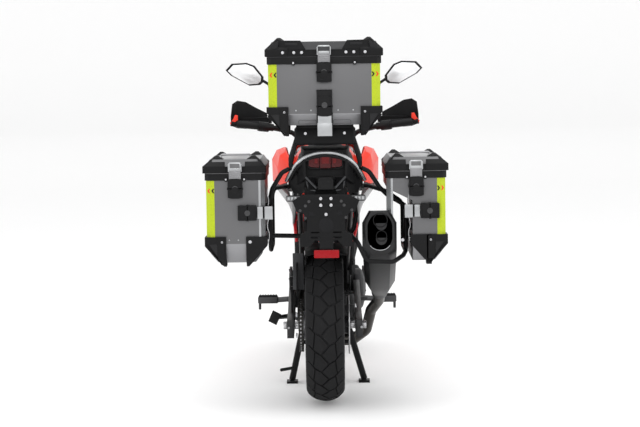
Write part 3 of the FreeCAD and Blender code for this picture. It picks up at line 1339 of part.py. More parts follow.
MIRROR = ((455, 1372), (427, 1402), (359, 1405), (323, 1391), (283, 1340), (285, 1316), (299, 1304), (347, 1301),
          (431, 1348))


def mirror_head():
    """One mirror: a six-sided shell with its glass face to the rear, on a cranked stalk."""
    y = s["mirror_y"]
    centre = Vector(370, y, 1349)

    def shrunk(share, depth):
        return [(centre.x + (x - centre.x) * share, depth, centre.z + (z - centre.z) * share) for x, z in MIRROR]
    shell = loft((shrunk(1.0, y - 10), shrunk(1.03, y + 2), shrunk(0.8, y + 22)))
    recess = loft((shrunk(0.93, y - 11), shrunk(0.93, y - 6)))
    perch = grip_line(252) + Vector(0, 0, 18)
    stalk = strut_chain((perch, perch + Vector(0, 0, 24), (244, y + 6, 1206), (256, y + 9, 1304),
                         (298, y + 14, 1331)), 6.5)
    return join(shell.cut(recess), *stalk)


shaped("mirrors", both_sides(mirror_head()))


# ---------------------------------------------------------------- luggage racks

def rear_rack():
    """The top case's rack: a plate, a deep rear bar, and legs to the subframe."""
    high = s["top_floor"] - 0.4
    deck = block(-112, 112, -285, -30, high - 14, high)
    slots = [block(x, x + 34, -230, -70, high - 20, high + 6) for x in (-86, -17, 52)]
    bar = block(-120, 120, -270, -246, 1074, high - 8)
    bar = bar.makeChamfer(8, bar.Edges)
    tongue = [block(-31, 31, -409, -262, 1110, 1117), block(-31, 31, -409, -403, 1110, 1204)]
    return join(deck.cut(Part.makeCompound(slots)), bar, *rack_feet(), *tongue)


shaped("rear_rack", rear_rack())
LEFT_RACK = ((-143.6, -232, 980), (-172, -226, 966), (-212, -196, 900), (-222, -176, 860), (-222, -176, 652),
             (-222, 120, 652), (-222, 120, 880), (-176, 236, 880), (-122.9, 240, 880))
RIGHT_RACK = ((143.6, -232, 980), (172, -226, 966), (214, -196, 900), (246, -180, 868), (312, -168, 828),
              (s["right_rack_x"], -160, 800), (s["right_rack_x"], -160, 640), (s["right_rack_x"], 120, 640),
              (s["right_rack_x"], 120, 816), (250, 150, 862), (176, 236, 880), (122.9, 240, 880))


def pannier_racks():
    """A tube loop on each side that carries the side cases, tied by a tube over the tyre."""
    left = bent_tube(LEFT_RACK, s["rack_tube"], 40)
    right = bent_tube(RIGHT_RACK, s["rack_tube"], 40)
    cross = bent_tube(CROSS_TUBE, s["rack_tube"], 50)
    left_pucks = [rod((-224, y, z), (-s["side_inner"] + 0.4, y, z), 13)
                  for y, z in ((-176, 742), (-176, 830), (120, 742), (120, 830))]
    wall = s["side_inner"] + s["notch_width"]
    right_pucks = [rod((s["right_rack_x"], y, z), (wall - 0.4, y, z), 13)
                   for y, z in ((-152, 738), (-152, 786), (120, 738), (120, 786))]
    left_strap = [block(-272, -213, -259, -254, 788, 834), block(-218, -213, -259, -170, 788, 834)]
    low_bar = bent_tube(((100, -150, 706), (106, -262, 706), (122, -300, 694), (142, -301, 650), (158, -301, 616),
                         (262, -301, 612), (304, -236, 632), (s["right_rack_x"], -140, 641)), s["rack_tube"], 30)
    right_strap = [block(313, 372, -259, -254, 788, 834), block(313, 318, -259, -156, 788, 834)]
    return Part.makeCompound([join(left, cross, *left_pucks, *left_strap), join(right, low_bar, *right_pucks, *right_strap)])


shaped("pannier_racks", pannier_racks())


# ---------------------------------------------------------------- cases, lids and their fittings

def hull(x0, x1, y0, y1, levels):
    """A box with cut corners through levels of (height, inset, corner cut)."""
    sections = []
    for z, inset, cut in levels:
        a, b, c, d = x0 + inset, x1 - inset, y0 + inset, y1 - inset
        sections.append([(a + cut, c, z), (b - cut, c, z), (b, c + cut, z), (b, d - cut, z), (b - cut, d, z),
                         (a + cut, d, z), (a, d - cut, z), (a, c + cut, z)])
    return loft(sections)


CORNER_CUT = 16
LID_CROWN = 20
# rows of (height above the floor, inwards), where the walls fold in towards the floor
SIDE_FOLDS = ((0, s["fold_inset"]), (36, s["fold_inset"] * 0.35), (78, 0))
TOP_FOLDS = ((0, s["fold_inset"]), (43, 0))


class CaseForm:
    """Where one case stands: its faces, floor, seam and lid."""

    def __init__(self, name, x0, x1, rear, depth, floor, split, rise, folds, notch=None):
        self.name, self.x0, self.x1 = name, x0, x1
        self.y0, self.y1 = -rear, -rear + depth
        self.floor, self.split, self.top = floor, split, split + rise
        self.notch = notch
        self.folds = folds

    def shell(self, out):
        """The body's outer form, moved out by out (inwards if negative), open-ended upwards."""
        top = self.split if out >= 0 else self.split + 50
        levels = [(self.floor + rise - (out if rise == 0 else 0), inset, CORNER_CUT) for rise, inset in self.folds]
        levels.append((top, 0, CORNER_CUT))
        solid = hull(self.x0 - out, self.x1 + out, self.y0 - out, self.y1 + out, levels)
        if self.notch:
            solid = solid.cut(self.notch_room(-out))
        return solid

    def notch_room(self, grow):
        """What the case leaves free for the silencer, grown by grow."""
        side, high = self.notch
        points = ((self.x0 - 60, self.floor - 60), (self.x0 + side + grow, self.floor - 60),
                  (self.x0 + side + grow, high - side / 2 + grow * 0.4), (self.x0 - 1, high + grow * 1.1),
                  (self.x0 - 60, high + grow * 1.1))
        return rear_plate(points, self.y0 - 60, self.y1 - self.y0 + 120)

    def body(self):
        """The case's body: floor and walls, open at the seam."""
        return self.shell(0).cut(self.shell(-s["case_wall"]))

    def lid_form(self):
        """The lid's outer form, which stands out past the body."""
        lip = s["lid_lip"]
        low = self.split + s["lid_gap"]
        return hull(self.x0 - lip, self.x1 + lip, self.y0 - lip, self.y1 + lip,
                    ((low, 0, CORNER_CUT), (low + 28, 0, CORNER_CUT), (self.top, LID_CROWN, CORNER_CUT)))

    def lid(self):
        """The lid: a shallow tray turned over."""
        lip, wall = s["lid_lip"], s["case_wall"]
        low = self.split + s["lid_gap"]
        inner = hull(self.x0 - lip + wall, self.x1 + lip - wall, self.y0 - lip + wall, self.y1 + lip - wall,
                     ((low - 5, 0, CORNER_CUT), (low + 27, 0, CORNER_CUT), (self.top - wall, LID_CROWN, CORNER_CUT)))
        return self.lid_form().cut(inner)

    def band(self):
        """The rim band round the body's top, which the lid's edge rests on."""
        lip = s["lid_lip"]
        low = self.split - s["band_height"]
        ring_out = hull(self.x0 - lip, self.x1 + lip, self.y0 - lip, self.y1 + lip,
                        ((low, 0, CORNER_CUT), (self.split, 0, CORNER_CUT)))
        return ring_out.cut(hull(self.x0, self.x1, self.y0, self.y1,
                                 ((low - 1, 0, CORNER_CUT), (self.split + 1, 0, CORNER_CUT))))

    def corners(self, low):
        """The four upright edges, as (x, y, x direction inwards, y direction inwards)."""
        x0 = self.x0 + (self.notch[0] if self.notch and low else 0)
        return ((x0, self.y0, 1, 1), (self.x1, self.y0, -1, 1), (self.x1, self.y1, -1, -1), (x0, self.y1, 1, -1))

    def guards(self, side_rows, end_rows, form, low):
        """Corner guards: rows of (inwards, height) seen from behind and from the side, less the form inside.

        A lid's guards end flush with the lid on the side that faces the machine's middle.
        """
        solids = []
        for x, y, dx, dy in self.corners(low):
            stop = -s["lid_lip"] if x * dx > 0 and not low else -s["top_half"]
            seen_behind = rear_plate([(x + dx * max(inward, stop), z) for inward, z in side_rows], y - 200, 400)
            seen_aside = plate([(y + dy * inward, z) for inward, z in end_rows], x - 200, 400)
            solids.append(seen_behind.common(seen_aside).cut(form))
        return solids

    def lower_guards(self, tip, knee, foot):
        """The guards round the bottom corners, down to feet under the floor."""
        out, reach = -s["guard_out"], s["guard_reach"]
        side_rows = [(out, self.floor + tip), (out, self.floor + knee), (reach - 10, self.floor - foot),
                     (reach, self.floor - foot), (reach, self.floor + tip)]
        end_rows = [(out, self.floor + tip), (out, self.floor - foot + 26), (18, self.floor - foot),
                    (reach, self.floor - foot), (reach, self.floor + tip)]
        return self.guards(side_rows, end_rows, self.shell(0), True)

    def lid_guards(self, peak):
        """The peaked guards on the lid's corners."""
        out, reach = -s["lid_lip"] - s["guard_out"] + 1, s["guard_reach"]
        rows = [(out, self.split + 3), (out, self.split + 30), (36, self.top + peak), (48, self.top + peak),
                (reach, self.top - 4), (reach, self.split + 3)]
        return self.guards(rows, rows, self.lid_form(), False)


left_form = CaseForm("left", -s["side_outer"], -s["side_inner"], s["side_rear"], s["side_depth"],
                     s["side_floor"], s["side_split"], s["side_rise"], SIDE_FOLDS)
right_form = CaseForm("right", s["side_inner"], s["side_outer"], s["side_rear"], s["side_depth"],
                      s["side_floor"], s["side_split"], s["side_rise"], SIDE_FOLDS,
                      (s["notch_width"], s["notch_top"]))
top_form = CaseForm("top", -s["top_half"], s["top_half"], s["top_rear"], s["top_depth"],
                    s["top_floor"], s["top_split"], s["top_rise"], TOP_FOLDS)


def hinge(form, on_lid):
    """The lid's hinge at the case's front: outer knuckles on the body, the middle one on the lid."""
    wall_y = form.y1 + s["lid_lip"]
    axis_y, axis_z = wall_y + s["hinge_out"], form.split + s["hinge_rise"]
    centre = (form.x0 + form.x1) / 2
    r = s["hinge_radius"]
    if on_lid:
        knuckle = rod((centre - 14.5, axis_y, axis_z), (centre + 14.5, axis_y, axis_z), r)
        leaf = block(centre - 14.5, centre + 14.5, wall_y - 2, axis_y, axis_z + 1, axis_z + r)
        pin_bore = rod((centre - 40, axis_y, axis_z), (centre + 40, axis_y, axis_z), 2.3)
        return [join(knuckle, leaf).cut(pin_bore)]
    parts = []
    for side in (-1, 1):
        x_in, x_out = centre + side * 15, centre + side * s["hinge_half"]
        low, high = sorted((x_in, x_out))
        parts.append(rod((x_in, axis_y, axis_z), (x_out, axis_y, axis_z), r))
        parts.append(block(low, high, wall_y - 2, axis_y + 2, form.split - 4, form.split))
    parts.append(rod((centre - 31, axis_y, axis_z), (centre + 31, axis_y, axis_z), 2))
    return parts


def latch(form, x, wide):
    """The latch under the rim band on the case's rear face: a raised body and a lock barrel."""
    y = form.y0 - s["lid_lip"]
    low, high = form.split - 92, form.split - s["band_height"] - 0.3
    body = block(x - wide / 2, x + wide / 2, y - 14, form.y0 - 0.3, low, high)
    body = body.makeChamfer(5, [edge for edge in body.Edges if edge.CenterOfMass.y < y - 13])
    barrel = rod((x, y - 20, low + 26), (x, y - 10, low + 26), 15)
    return join(body, barrel)


def hook(form, x, wide):
    """The catch plate on the lid that reaches down to the latch."""
    y = form.y0 - s["lid_lip"]
    low = form.split + s["lid_gap"]
    plate_up = block(x - wide / 2, x + wide / 2, y - 10, y + 1, form.split - 20, form.split + 40)
    return plate_up.cut(block(x - wide, x + wide, y - 0.3, y + 9, form.split - 60, low + 2))


def lid_handle(form):
    """The carrying bar on top of a side case's lid."""
    centre, y, top = (form.x0 + form.x1) / 2, form.y0 + 90, form.top
    return bent_tube(((centre - 62, y, top - 2), (centre - 59, y, top + 16), (centre + 59, y, top + 16),
                      (centre + 62, y, top - 2)), 4, 12)


case_armour, case_fittings = [], []
for form in (top_form, left_form, right_form):
    top_case = form.name == "top"
    latch_x = (form.x0 + form.x1) / 2
    wide = 52 if top_case else 44
    shaped(f"{form.name}_case_body", form.body())
    case_armour += form.lower_guards(72, 51, 41) if top_case else form.lower_guards(106, 70, 14)
    rim = join(form.band(), *hinge(form, False))
    case_fittings += [rim.cut(form.notch_room(0)) if form.notch else rim, latch(form, latch_x, wide)]
    lid = join(form.lid(), *hinge(form, True), hook(form, latch_x, wide - 6),
               *([] if top_case else [lid_handle(form)]))
    shaped(f"{form.name}_case_lid", lid)
    shaped(f"{form.name}_lid_armour", Part.makeCompound(form.lid_guards(16 if top_case else s["lid_peak"])))
for x0, x1, rear, z0, z1 in (
        # the three latches that hold the cases to their racks
        (-30, 30, top_form.y0, 1206, 1292), (-348, -274, left_form.y0, 780, 838),
        (374, 448, right_form.y0, 780, 838)):
    mount_latch = block(x0, x1, rear - 14, rear - 0.3, z0, z1)
    mount_latch = mount_latch.makeChamfer(4, [edge for edge in mount_latch.Edges
                                              if edge.CenterOfMass.y < rear - 13])
    knob = rod(((x0 + x1) / 2, rear - 20, (z0 + z1) / 2), ((x0 + x1) / 2, rear - 10, (z0 + z1) / 2), 15)
    case_fittings.append(join(mount_latch, knob))
shaped("case_armour", Part.makeCompound(case_armour))
shaped("case_fittings", Part.makeCompound(case_fittings))


# ---------------------------------------------------------------- stands

def centre_stand():
    """The centre stand: a sleeve on its shaft, two splayed legs, a tie and flat feet."""
    y, z = s["stand_pivot_y"], s["stand_pivot_z"]
    shaft = rod((-s["plate_left"] - 20, y, z), (s["plate_right"] + 20, y, z), s["stand_shaft"])
    sleeve = rod((-s["plate_left"] + 0.5, y, z), (s["plate_right"] - 0.5, y, z), 16)
    legs = []
    for side, top_x in ((-1, -s["plate_left"] + 23), (1, s["plate_right"] - 23)):
        foot_x = side * s["stand_foot_x"]
        legs += strut_chain(((top_x, y, z), (foot_x, s["stand_foot_y"], 14)), s["stand_tube"])
        legs.append(block(foot_x - 24, foot_x + 24, s["stand_foot_y"] - 34, s["stand_foot_y"] + 30, 0, 9))
        legs.append(block(foot_x - 10, foot_x + 10, s["stand_foot_y"] - 12, s["stand_foot_y"] + 12, 8, 24))
    share = 0.42
    tie_y, tie_z = y + (s["stand_foot_y"] - y) * share, z * (1 - share) + 14 * share
    left_x = (-s["plate_left"] + 23) * (1 - share) - s["stand_foot_x"] * share
    right_x = (s["plate_right"] - 23) * (1 - share) + s["stand_foot_x"] * share
    tie = rod((left_x, tie_y, tie_z), (right_x, tie_y, tie_z), 9)
    tang = strut_chain(((-s["stand_foot_x"] + 10, s["stand_foot_y"] - 4, 66),
                        (-s["stand_foot_x"] - 46, s["stand_foot_y"] - 84, 70)), 7)
    return join(shaft, sleeve, *legs, tie, *tang)


shaped("centre_stand", centre_stand())


def side_stand():
    """The side stand, folded back along the left side: a leg from its lug, and its foot plate."""
    top = Vector(-s["side_stand_x"], s["side_stand_y"], s["side_stand_z"])
    toe = Vector(-s["side_foot_x"], s["side_foot_y"], s["side_foot_z"])
    run = (toe - top).normalize()
    length = (toe - top).Length
    axis = Vector(*SIDE_STAND_AXIS).normalize()
    eye = Part.makeCylinder(17, 24, top - axis * 12, axis)
    leg = Part.makeCone(12, 9, length, top, run)
    outward = axis.cross(run).normalize()
    foot = Part.makeBox(52, 40, 8)
    foot.Placement = Placement(Vector(), Rotation(outward, axis, run, "ZYX"))
    foot.translate(toe - foot.CenterOfMass - run * 2)
    return join(eye, leg, foot)


shaped("side_stand", side_stand())


# ---------------------------------------------------------------- checks and export

doc.recompute()
SUB_PARTS = [piece for piece in doc.Objects if piece.Label in (
    "rear_tyre", "front_tyre", "rear_rim", "front_rim", "front_discs", "rear_disc", "rear_sprocket")
    or (piece.TypeId == "Part::Feature")]
for piece in doc.Objects:
    if "Invalid" in piece.State or "Error" in piece.State:
        raise RuntimeError(f"{piece.Label} failed: {piece.State}")
os.makedirs("parts", exist_ok=True)
for piece in SUB_PARTS:
    if piece.Shape.isNull() or not piece.Shape.isValid():
        raise RuntimeError(f"{piece.Label} has no valid shape")
    piece.Shape.exportStep(f"parts/{piece.Label}.step")
print(len(SUB_PARTS), "sub-parts")
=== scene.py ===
"""An adventure motorcycle on its centre stand, dressed over its construction frame."""
import json
import logging
import math
from dataclasses import dataclass
from enum import Enum
from typing import Callable, Iterable, Sequence, Union

import bmesh
import bpy
from mathutils import Euler, Matrix, Vector

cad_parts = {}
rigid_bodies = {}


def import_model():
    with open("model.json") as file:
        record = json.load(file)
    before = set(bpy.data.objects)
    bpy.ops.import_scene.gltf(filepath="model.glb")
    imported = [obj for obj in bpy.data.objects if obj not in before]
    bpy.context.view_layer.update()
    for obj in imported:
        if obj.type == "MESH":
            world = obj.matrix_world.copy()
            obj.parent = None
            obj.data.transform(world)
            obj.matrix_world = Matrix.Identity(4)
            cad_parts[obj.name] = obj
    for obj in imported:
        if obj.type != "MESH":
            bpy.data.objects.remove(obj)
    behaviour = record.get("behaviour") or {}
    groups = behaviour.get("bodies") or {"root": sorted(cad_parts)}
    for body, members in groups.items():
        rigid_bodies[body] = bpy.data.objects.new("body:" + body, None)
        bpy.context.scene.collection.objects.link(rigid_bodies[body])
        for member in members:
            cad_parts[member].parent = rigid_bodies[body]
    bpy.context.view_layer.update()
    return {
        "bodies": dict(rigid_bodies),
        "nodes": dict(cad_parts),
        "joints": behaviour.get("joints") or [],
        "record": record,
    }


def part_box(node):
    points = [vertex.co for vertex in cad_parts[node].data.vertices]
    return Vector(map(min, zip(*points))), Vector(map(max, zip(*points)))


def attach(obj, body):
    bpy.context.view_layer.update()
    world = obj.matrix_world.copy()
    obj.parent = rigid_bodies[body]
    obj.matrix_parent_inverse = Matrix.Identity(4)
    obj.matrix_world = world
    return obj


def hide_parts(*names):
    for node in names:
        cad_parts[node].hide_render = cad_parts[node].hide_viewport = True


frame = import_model()

logging.basicConfig(level=logging.INFO, format="%(message)s")
LOG = logging.getLogger("motorcycle")

Point = tuple[float, float, float]
Number = Union[int, float, "Signal"]
MM = 0.001


# ------------------------------------------------------------------ shader signals

class Signal:
    """A socket's value in a material, with Python's operators for its maths."""

    def __init__(self, graph: "Graph", socket: bpy.types.NodeSocket) -> None:
        """Wraps one output socket of a graph."""
        self.graph = graph
        self.socket = socket

    def _with(self, operation: str, first: Number, second: Number) -> "Signal":
        """Adds one Math node.

        Args:
            operation: the Math node's operation.
            first: its first value.
            second: its second value.

        Returns:
            The node's output.
        """
        return self.graph.node("ShaderNodeMath", {"operation": operation}, {0: first, 1: second})

    def __add__(self, other: Number) -> "Signal":
        """Sum."""
        return self._with("ADD", self, other)

    def __mul__(self, other: Number) -> "Signal":
        """Product."""
        return self._with("MULTIPLY", self, other)

    def clipped(self) -> "Signal":
        """The value held between 0 and 1."""
        return self.graph.node("ShaderNodeClamp", {}, {"Value": self})


@dataclass(frozen=True)
class Pattern:
    """A cloudy noise, or cells where a feature is named, on Object coordinates."""
    scale: float
    detail: float = 2
    stretch: Point = (1, 1, 1)
    feature: str = ""


class Graph:
    """The node tree of one material."""
    NOISE_ROUGHNESS = 0.55

    def __init__(self, name: str) -> None:
        """Starts a material with its Principled shader."""
        self.material = bpy.data.materials.new(name)
        self.material.use_nodes = True
        self.tree = self.material.node_tree
        self.shader = self.tree.nodes["Principled BSDF"]

    def node(self, kind: str, settings: dict, values: dict, output: Union[int, str] = 0) -> Signal:
        """Adds a node.

        Args:
            kind: the node's type.
            settings: its own settings, set first.
            values: numbers, colours or signals for its sockets, by name or place.
            output: the output that is wanted.

        Returns:
            That output as a signal.
        """
        made = self.tree.nodes.new(kind)
        for name, value in settings.items():
            setattr(made, name, value)
        for name, value in values.items():
            self.feed(made.inputs[name], value)
        return Signal(self, made.outputs[output])

    def feed(self, socket: bpy.types.NodeSocket, value: object) -> None:
        """Links a signal to a socket, or sets its value."""
        if isinstance(value, Signal):
            self.tree.links.new(value.socket, socket)
        else:
            socket.default_value = value

    def draw(self, pattern: Pattern) -> Signal:
        """Adds a pattern's nodes.

        Args:
            pattern: the pattern.

        Returns:
            The noise, or the distance in the cells.
        """
        raw = self.node("ShaderNodeTexCoord", {}, {}, "Object")
        place = self.node("ShaderNodeMapping", {}, {"Vector": raw, "Scale": pattern.stretch})
        inputs = {"Vector": place, "Scale": pattern.scale}
        if pattern.feature:
            return self.node("ShaderNodeTexVoronoi", {"feature": pattern.feature}, inputs, "Distance")
        inputs.update(Detail=pattern.detail, Roughness=self.NOISE_ROUGHNESS)
        return self.node("ShaderNodeTexNoise", {}, inputs)

    def blend(self, share: Number, low: tuple, high: tuple) -> Signal:
        """A colour between two by share."""
        mixed = self.tree.nodes.new("ShaderNodeMix")
        mixed.data_type = "RGBA"
        self.feed(mixed.inputs[0], share)
        self.feed(mixed.inputs[6], low)
        self.feed(mixed.inputs[7], high)
        return Signal(self, mixed.outputs[2])

    def bump(self, height: Signal, strength: float, depth: float) -> None:
        """Feeds the shader's normal from a height."""
        normal = self.node("ShaderNodeBump", {},
                           {"Strength": strength, "Distance": depth, "Height": height})
        self.feed(self.shader.inputs["Normal"], normal)

    def set(self, **sockets: object) -> None:
        """Sets the Principled shader's sockets, named with underscores for spaces."""
        for name, value in sockets.items():
            self.feed(self.shader.inputs[name.replace("_", " ")], value)


@dataclass(frozen=True)
class Recipe:
    """How a surface is shaded: a cloud spreads its colour and gloss, and a height its bump."""
    cloud: Pattern
    tones: tuple[float, float]  # what the colour is multiplied by where the cloud is low and high
    gloss: tuple[float, float]  # what is added to the roughness, and the cloud's part in it
    height: Pattern
    bump: tuple[float, float]  # strength and distance
    lines: float = 0.0  # the height's part in the roughness
    sheen: float = 0.0
    flaked: bool = False


class Grain(Enum):
    """What a finish's surface is like close by."""
    MOULDED = Recipe(Pattern(9, 4), (0.75, 1.35), (-0.1, 0.2), Pattern(1500), (0.25, 0.0004))
    POWDER = Recipe(Pattern(5, 3), (0.88, 1.12), (-0.07, 0.14), Pattern(420), (0.12, 0.0005), flaked=True)
    PAINT = Recipe(Pattern(3, 3), (0.86, 1.14), (-0.04, 0.08), Pattern(60), (0.03, 0.0006))
    BRUSHED = Recipe(Pattern(14, 4), (0.72, 1.15), (-0.12, 0.12), Pattern(90, 4, (1, 0.04, 1)),
                     (0.12, 0.0003), lines=0.14)
    CAST = Recipe(Pattern(22, 4), (0.65, 1.3), (-0.08, 0.18), Pattern(700, 4), (0.35, 0.0006))
    RUBBER = Recipe(Pattern(16, 5), (0.7, 1.5), (-0.08, 0.16), Pattern(900), (0.2, 0.0005))
    VINYL = Recipe(Pattern(11, 4), (0.8, 1.3), (-0.06, 0.14), Pattern(430, feature="SMOOTH_F1"),
                   (0.35, 0.0008), sheen=0.25)
    FILM = Recipe(Pattern(330, feature="F1"), (1.1, 0.8), (0, 0.1), Pattern(330, feature="F1"),
                  (0.15, 0.0003))
    CLEAR = Recipe(Pattern(30, 3), (0.9, 1.05), (0, 0.05), Pattern(30, 3), (0.02, 0.0004))
    SMOOTH = Recipe(Pattern(24, 5), (0.85, 1.08), (0, 0.1), Pattern(160), (0.03, 0.0003))


@dataclass(frozen=True)
class Finish:
    """A surface finish: its colour, gloss and grain."""
    FLAKE = Pattern(1900, feature="F1")

    name: str
    colour: Point
    roughness: float
    grain: Grain
    metallic: float = 0.0
    coat: float = 0.0
    clear: float = 0.0

    def shade(self, factor: float) -> tuple:
        """The colour, lighter or darker, as an opaque tuple."""
        return tuple(min(1.0, max(0.0, part * factor)) for part in self.colour) + (1.0,)

    def material(self) -> bpy.types.Material:
        """The finish's material, built once.

        Returns:
            The material with its nodes.
        """
        ready = bpy.data.materials.get(self.name)
        if ready:
            return ready
        graph = Graph(self.name)
        graph.set(Metallic=self.metallic, Coat_Weight=self.coat, Coat_Roughness=0.06,
                  Specular_IOR_Level=0.5 if self.metallic or self.clear else 0.13)
        self._shade(graph, self.grain.value)
        if self.clear:
            graph.set(Transmission_Weight=self.clear, IOR=1.46)
        return graph.material

    def _shade(self, graph: Graph, recipe: Recipe) -> None:
        """Feeds colour, gloss and bump as the grain's recipe says."""
        height = graph.draw(recipe.height)
        cloud = graph.draw(recipe.cloud)
        share = cloud
        if recipe.flaked:
            share = (cloud * 0.7 + graph.draw(self.FLAKE) * 0.5).clipped()
        added, part = recipe.gloss
        rough = cloud * part + (self.roughness + added)
        if recipe.lines:
            rough = rough + height * recipe.lines
        low, high = (self.shade(tone) for tone in recipe.tones)
        graph.set(Base_Color=graph.blend(share, low, high), Roughness=rough.clipped(),
                  Sheen_Weight=recipe.sheen)
        graph.bump(height, *recipe.bump)


TYRE = Finish("tyre tread", (0.011, 0.011, 0.0115), 0.82, Grain.RUBBER)
TYRE_WALL = Finish("tyre side wall", (0.015, 0.015, 0.016), 0.7, Grain.RUBBER)
RUBBER = Finish("soft rubber", (0.011, 0.011, 0.012), 0.75, Grain.RUBBER)
WHEEL = Finish("wheel casting", (0.016, 0.016, 0.018), 0.38, Grain.POWDER, coat=0.2)
DISC = Finish("ground disc steel", (0.52, 0.52, 0.53), 0.32, Grain.BRUSHED, 1.0)
STEEL = Finish("zinc steel", (0.50, 0.50, 0.51), 0.3, Grain.SMOOTH, 1.0)
DARK_STEEL = Finish("oiled chain steel", (0.05, 0.048, 0.045), 0.4, Grain.BRUSHED, 0.9)
BOLT = Finish("black oxide bolt", (0.03, 0.03, 0.031), 0.36, Grain.SMOOTH, 0.8)
SILVER_BOLT = Finish("bright bolt", (0.62, 0.62, 0.64), 0.26, Grain.SMOOTH, 1.0)
RED_FRAME = Finish("frame red", (0.5, 0.006, 0.012), 0.34, Grain.POWDER, coat=0.4)
RED_PAINT = Finish("tank red", (0.74, 0.048, 0.028), 0.3, Grain.PAINT, coat=0.12)
FRAME_BLACK = Finish("rack powder coat", (0.007, 0.007, 0.0075), 0.42, Grain.POWDER)
ENGINE = Finish("engine casting", (0.03, 0.03, 0.032), 0.5, Grain.CAST, 0.45)
COVER = Finish("engine cover", (0.016, 0.016, 0.017), 0.4, Grain.POWDER, 0.3)
HEADER = Finish("header steel", (0.07, 0.065, 0.06), 0.33, Grain.BRUSHED, 1.0)
SILENCER = Finish("silencer black", (0.017, 0.017, 0.018), 0.4, Grain.POWDER, 0.5)
HEAT_SHIELD = Finish("brushed shield", (0.3, 0.3, 0.31), 0.38, Grain.BRUSHED, 1.0)
VINYL = Finish("seat cover", (0.011, 0.011, 0.012), 0.55, Grain.VINYL)
PANEL = Finish("moulded panel", (0.008, 0.008, 0.0085), 0.55, Grain.MOULDED)
GREY_PANEL = Finish("grey panel", (0.055, 0.056, 0.059), 0.45, Grain.MOULDED)
COWL_SILVER = Finish("cowl silver", (0.17, 0.17, 0.175), 0.38, Grain.PAINT, 0.2, 0.15)
CASE = Finish("case powder coat", (0.13, 0.13, 0.134), 0.4, Grain.POWDER, 0.55)
# A lighter copy of the case powder coat: painted reflection of the pale floor on the faces that look
# down.
CASE_FOLD_PAINTED_REFLECTION = Finish("case fold", (0.26, 0.26, 0.27), 0.36, Grain.POWDER, 0.55)
ARMOUR = Finish("corner armour", (0.008, 0.008, 0.0085), 0.5, Grain.MOULDED)
ARMOUR_FACE = Finish("armour inlay", (0.018, 0.018, 0.019), 0.45, Grain.MOULDED)
FITTING = Finish("fitting black", (0.009, 0.009, 0.0095), 0.4, Grain.MOULDED)
LATCH_PLATE = Finish("latch plate", (0.45, 0.46, 0.47), 0.3, Grain.BRUSHED, 0.9)
YELLOW = Finish("reflective yellow", (0.44, 0.54, 0.024), 0.35, Grain.FILM)
RED_MARK = Finish("reflective red", (0.75, 0.05, 0.02), 0.4, Grain.FILM)
BLACK_MARK = Finish("film black", (0.02, 0.02, 0.02), 0.4, Grain.FILM)
RED_LENS = Finish("red lens", (0.06, 0.002, 0.003), 0.16, Grain.CLEAR, coat=0.3)
RED_CORE = Finish("red lens core", (0.12, 0.005, 0.006), 0.25, Grain.CLEAR, coat=0.2)
REFLECTOR = Finish("red reflector", (0.30, 0.002, 0.006), 0.25, Grain.CLEAR, coat=0.2)
GREY_LENS = Finish("pale grey lens", (0.16, 0.16, 0.165), 0.2, Grain.CLEAR, coat=0.6)
CASE_LID = Finish("case lid", (0.025, 0.025, 0.027), 0.42, Grain.POWDER, 0.3)
SMOKE = Finish("smoked lens", (0.03, 0.03, 0.033), 0.12, Grain.CLEAR, coat=1.0)
CLEAR = Finish("clear screen", (0.86, 0.89, 0.9), 0.06, Grain.CLEAR, clear=0.92)
LENS = Finish("lamp lens", (0.9, 0.92, 0.93), 0.05, Grain.CLEAR, clear=0.85, coat=0.5)
# Half metal, half near-white diffuse: the diffuse white is a painted reflection of the pale studio.
MIRROR_PAINTED_REFLECTION = Finish("mirror glass", (0.86, 0.87, 0.88), 0.2, Grain.SMOOTH, 0.55)
ALLOY = Finish("machined alloy", (0.42, 0.42, 0.43), 0.34, Grain.BRUSHED, 1.0)
GREY_ALLOY = Finish("dark alloy", (0.06, 0.06, 0.062), 0.4, Grain.POWDER, 0.6)
DISPLAY = Finish("display glass", (0.01, 0.012, 0.015), 0.08, Grain.CLEAR, coat=1.0)


# ------------------------------------------------------------------ the bench

def clear_selection() -> None:
    """Leaves edit mode and deselects everything."""
    if bpy.context.object and bpy.context.object.mode != "OBJECT":
        bpy.ops.object.mode_set(mode="OBJECT")
    bpy.ops.object.select_all(action="DESELECT")


def activate(piece: bpy.types.Object) -> None:
    """Makes a piece the only selected object and the active one."""
    clear_selection()
    piece.select_set(True)
    bpy.context.view_layer.objects.active = piece


class Form(Enum):
    """The primitive that a blank starts from."""
    BLOCK = "block"
    ROD = "rod"
    DISC = "disc"
    BALL = "ball"
    CARD = "card"


class Way(Enum):
    """The direction that a rod's or card's axis runs."""
    X = (0, math.pi / 2, 0)
    Y = (math.pi / 2, 0, 0)
    Z = (0, 0, 0)


AIMS = {Way.X: Vector((1, 0, 0)), Way.Y: Vector((0, 1, 0)), Way.Z: Vector((0, 0, 1))}
Pick = Callable[[Vector, Vector], bool]


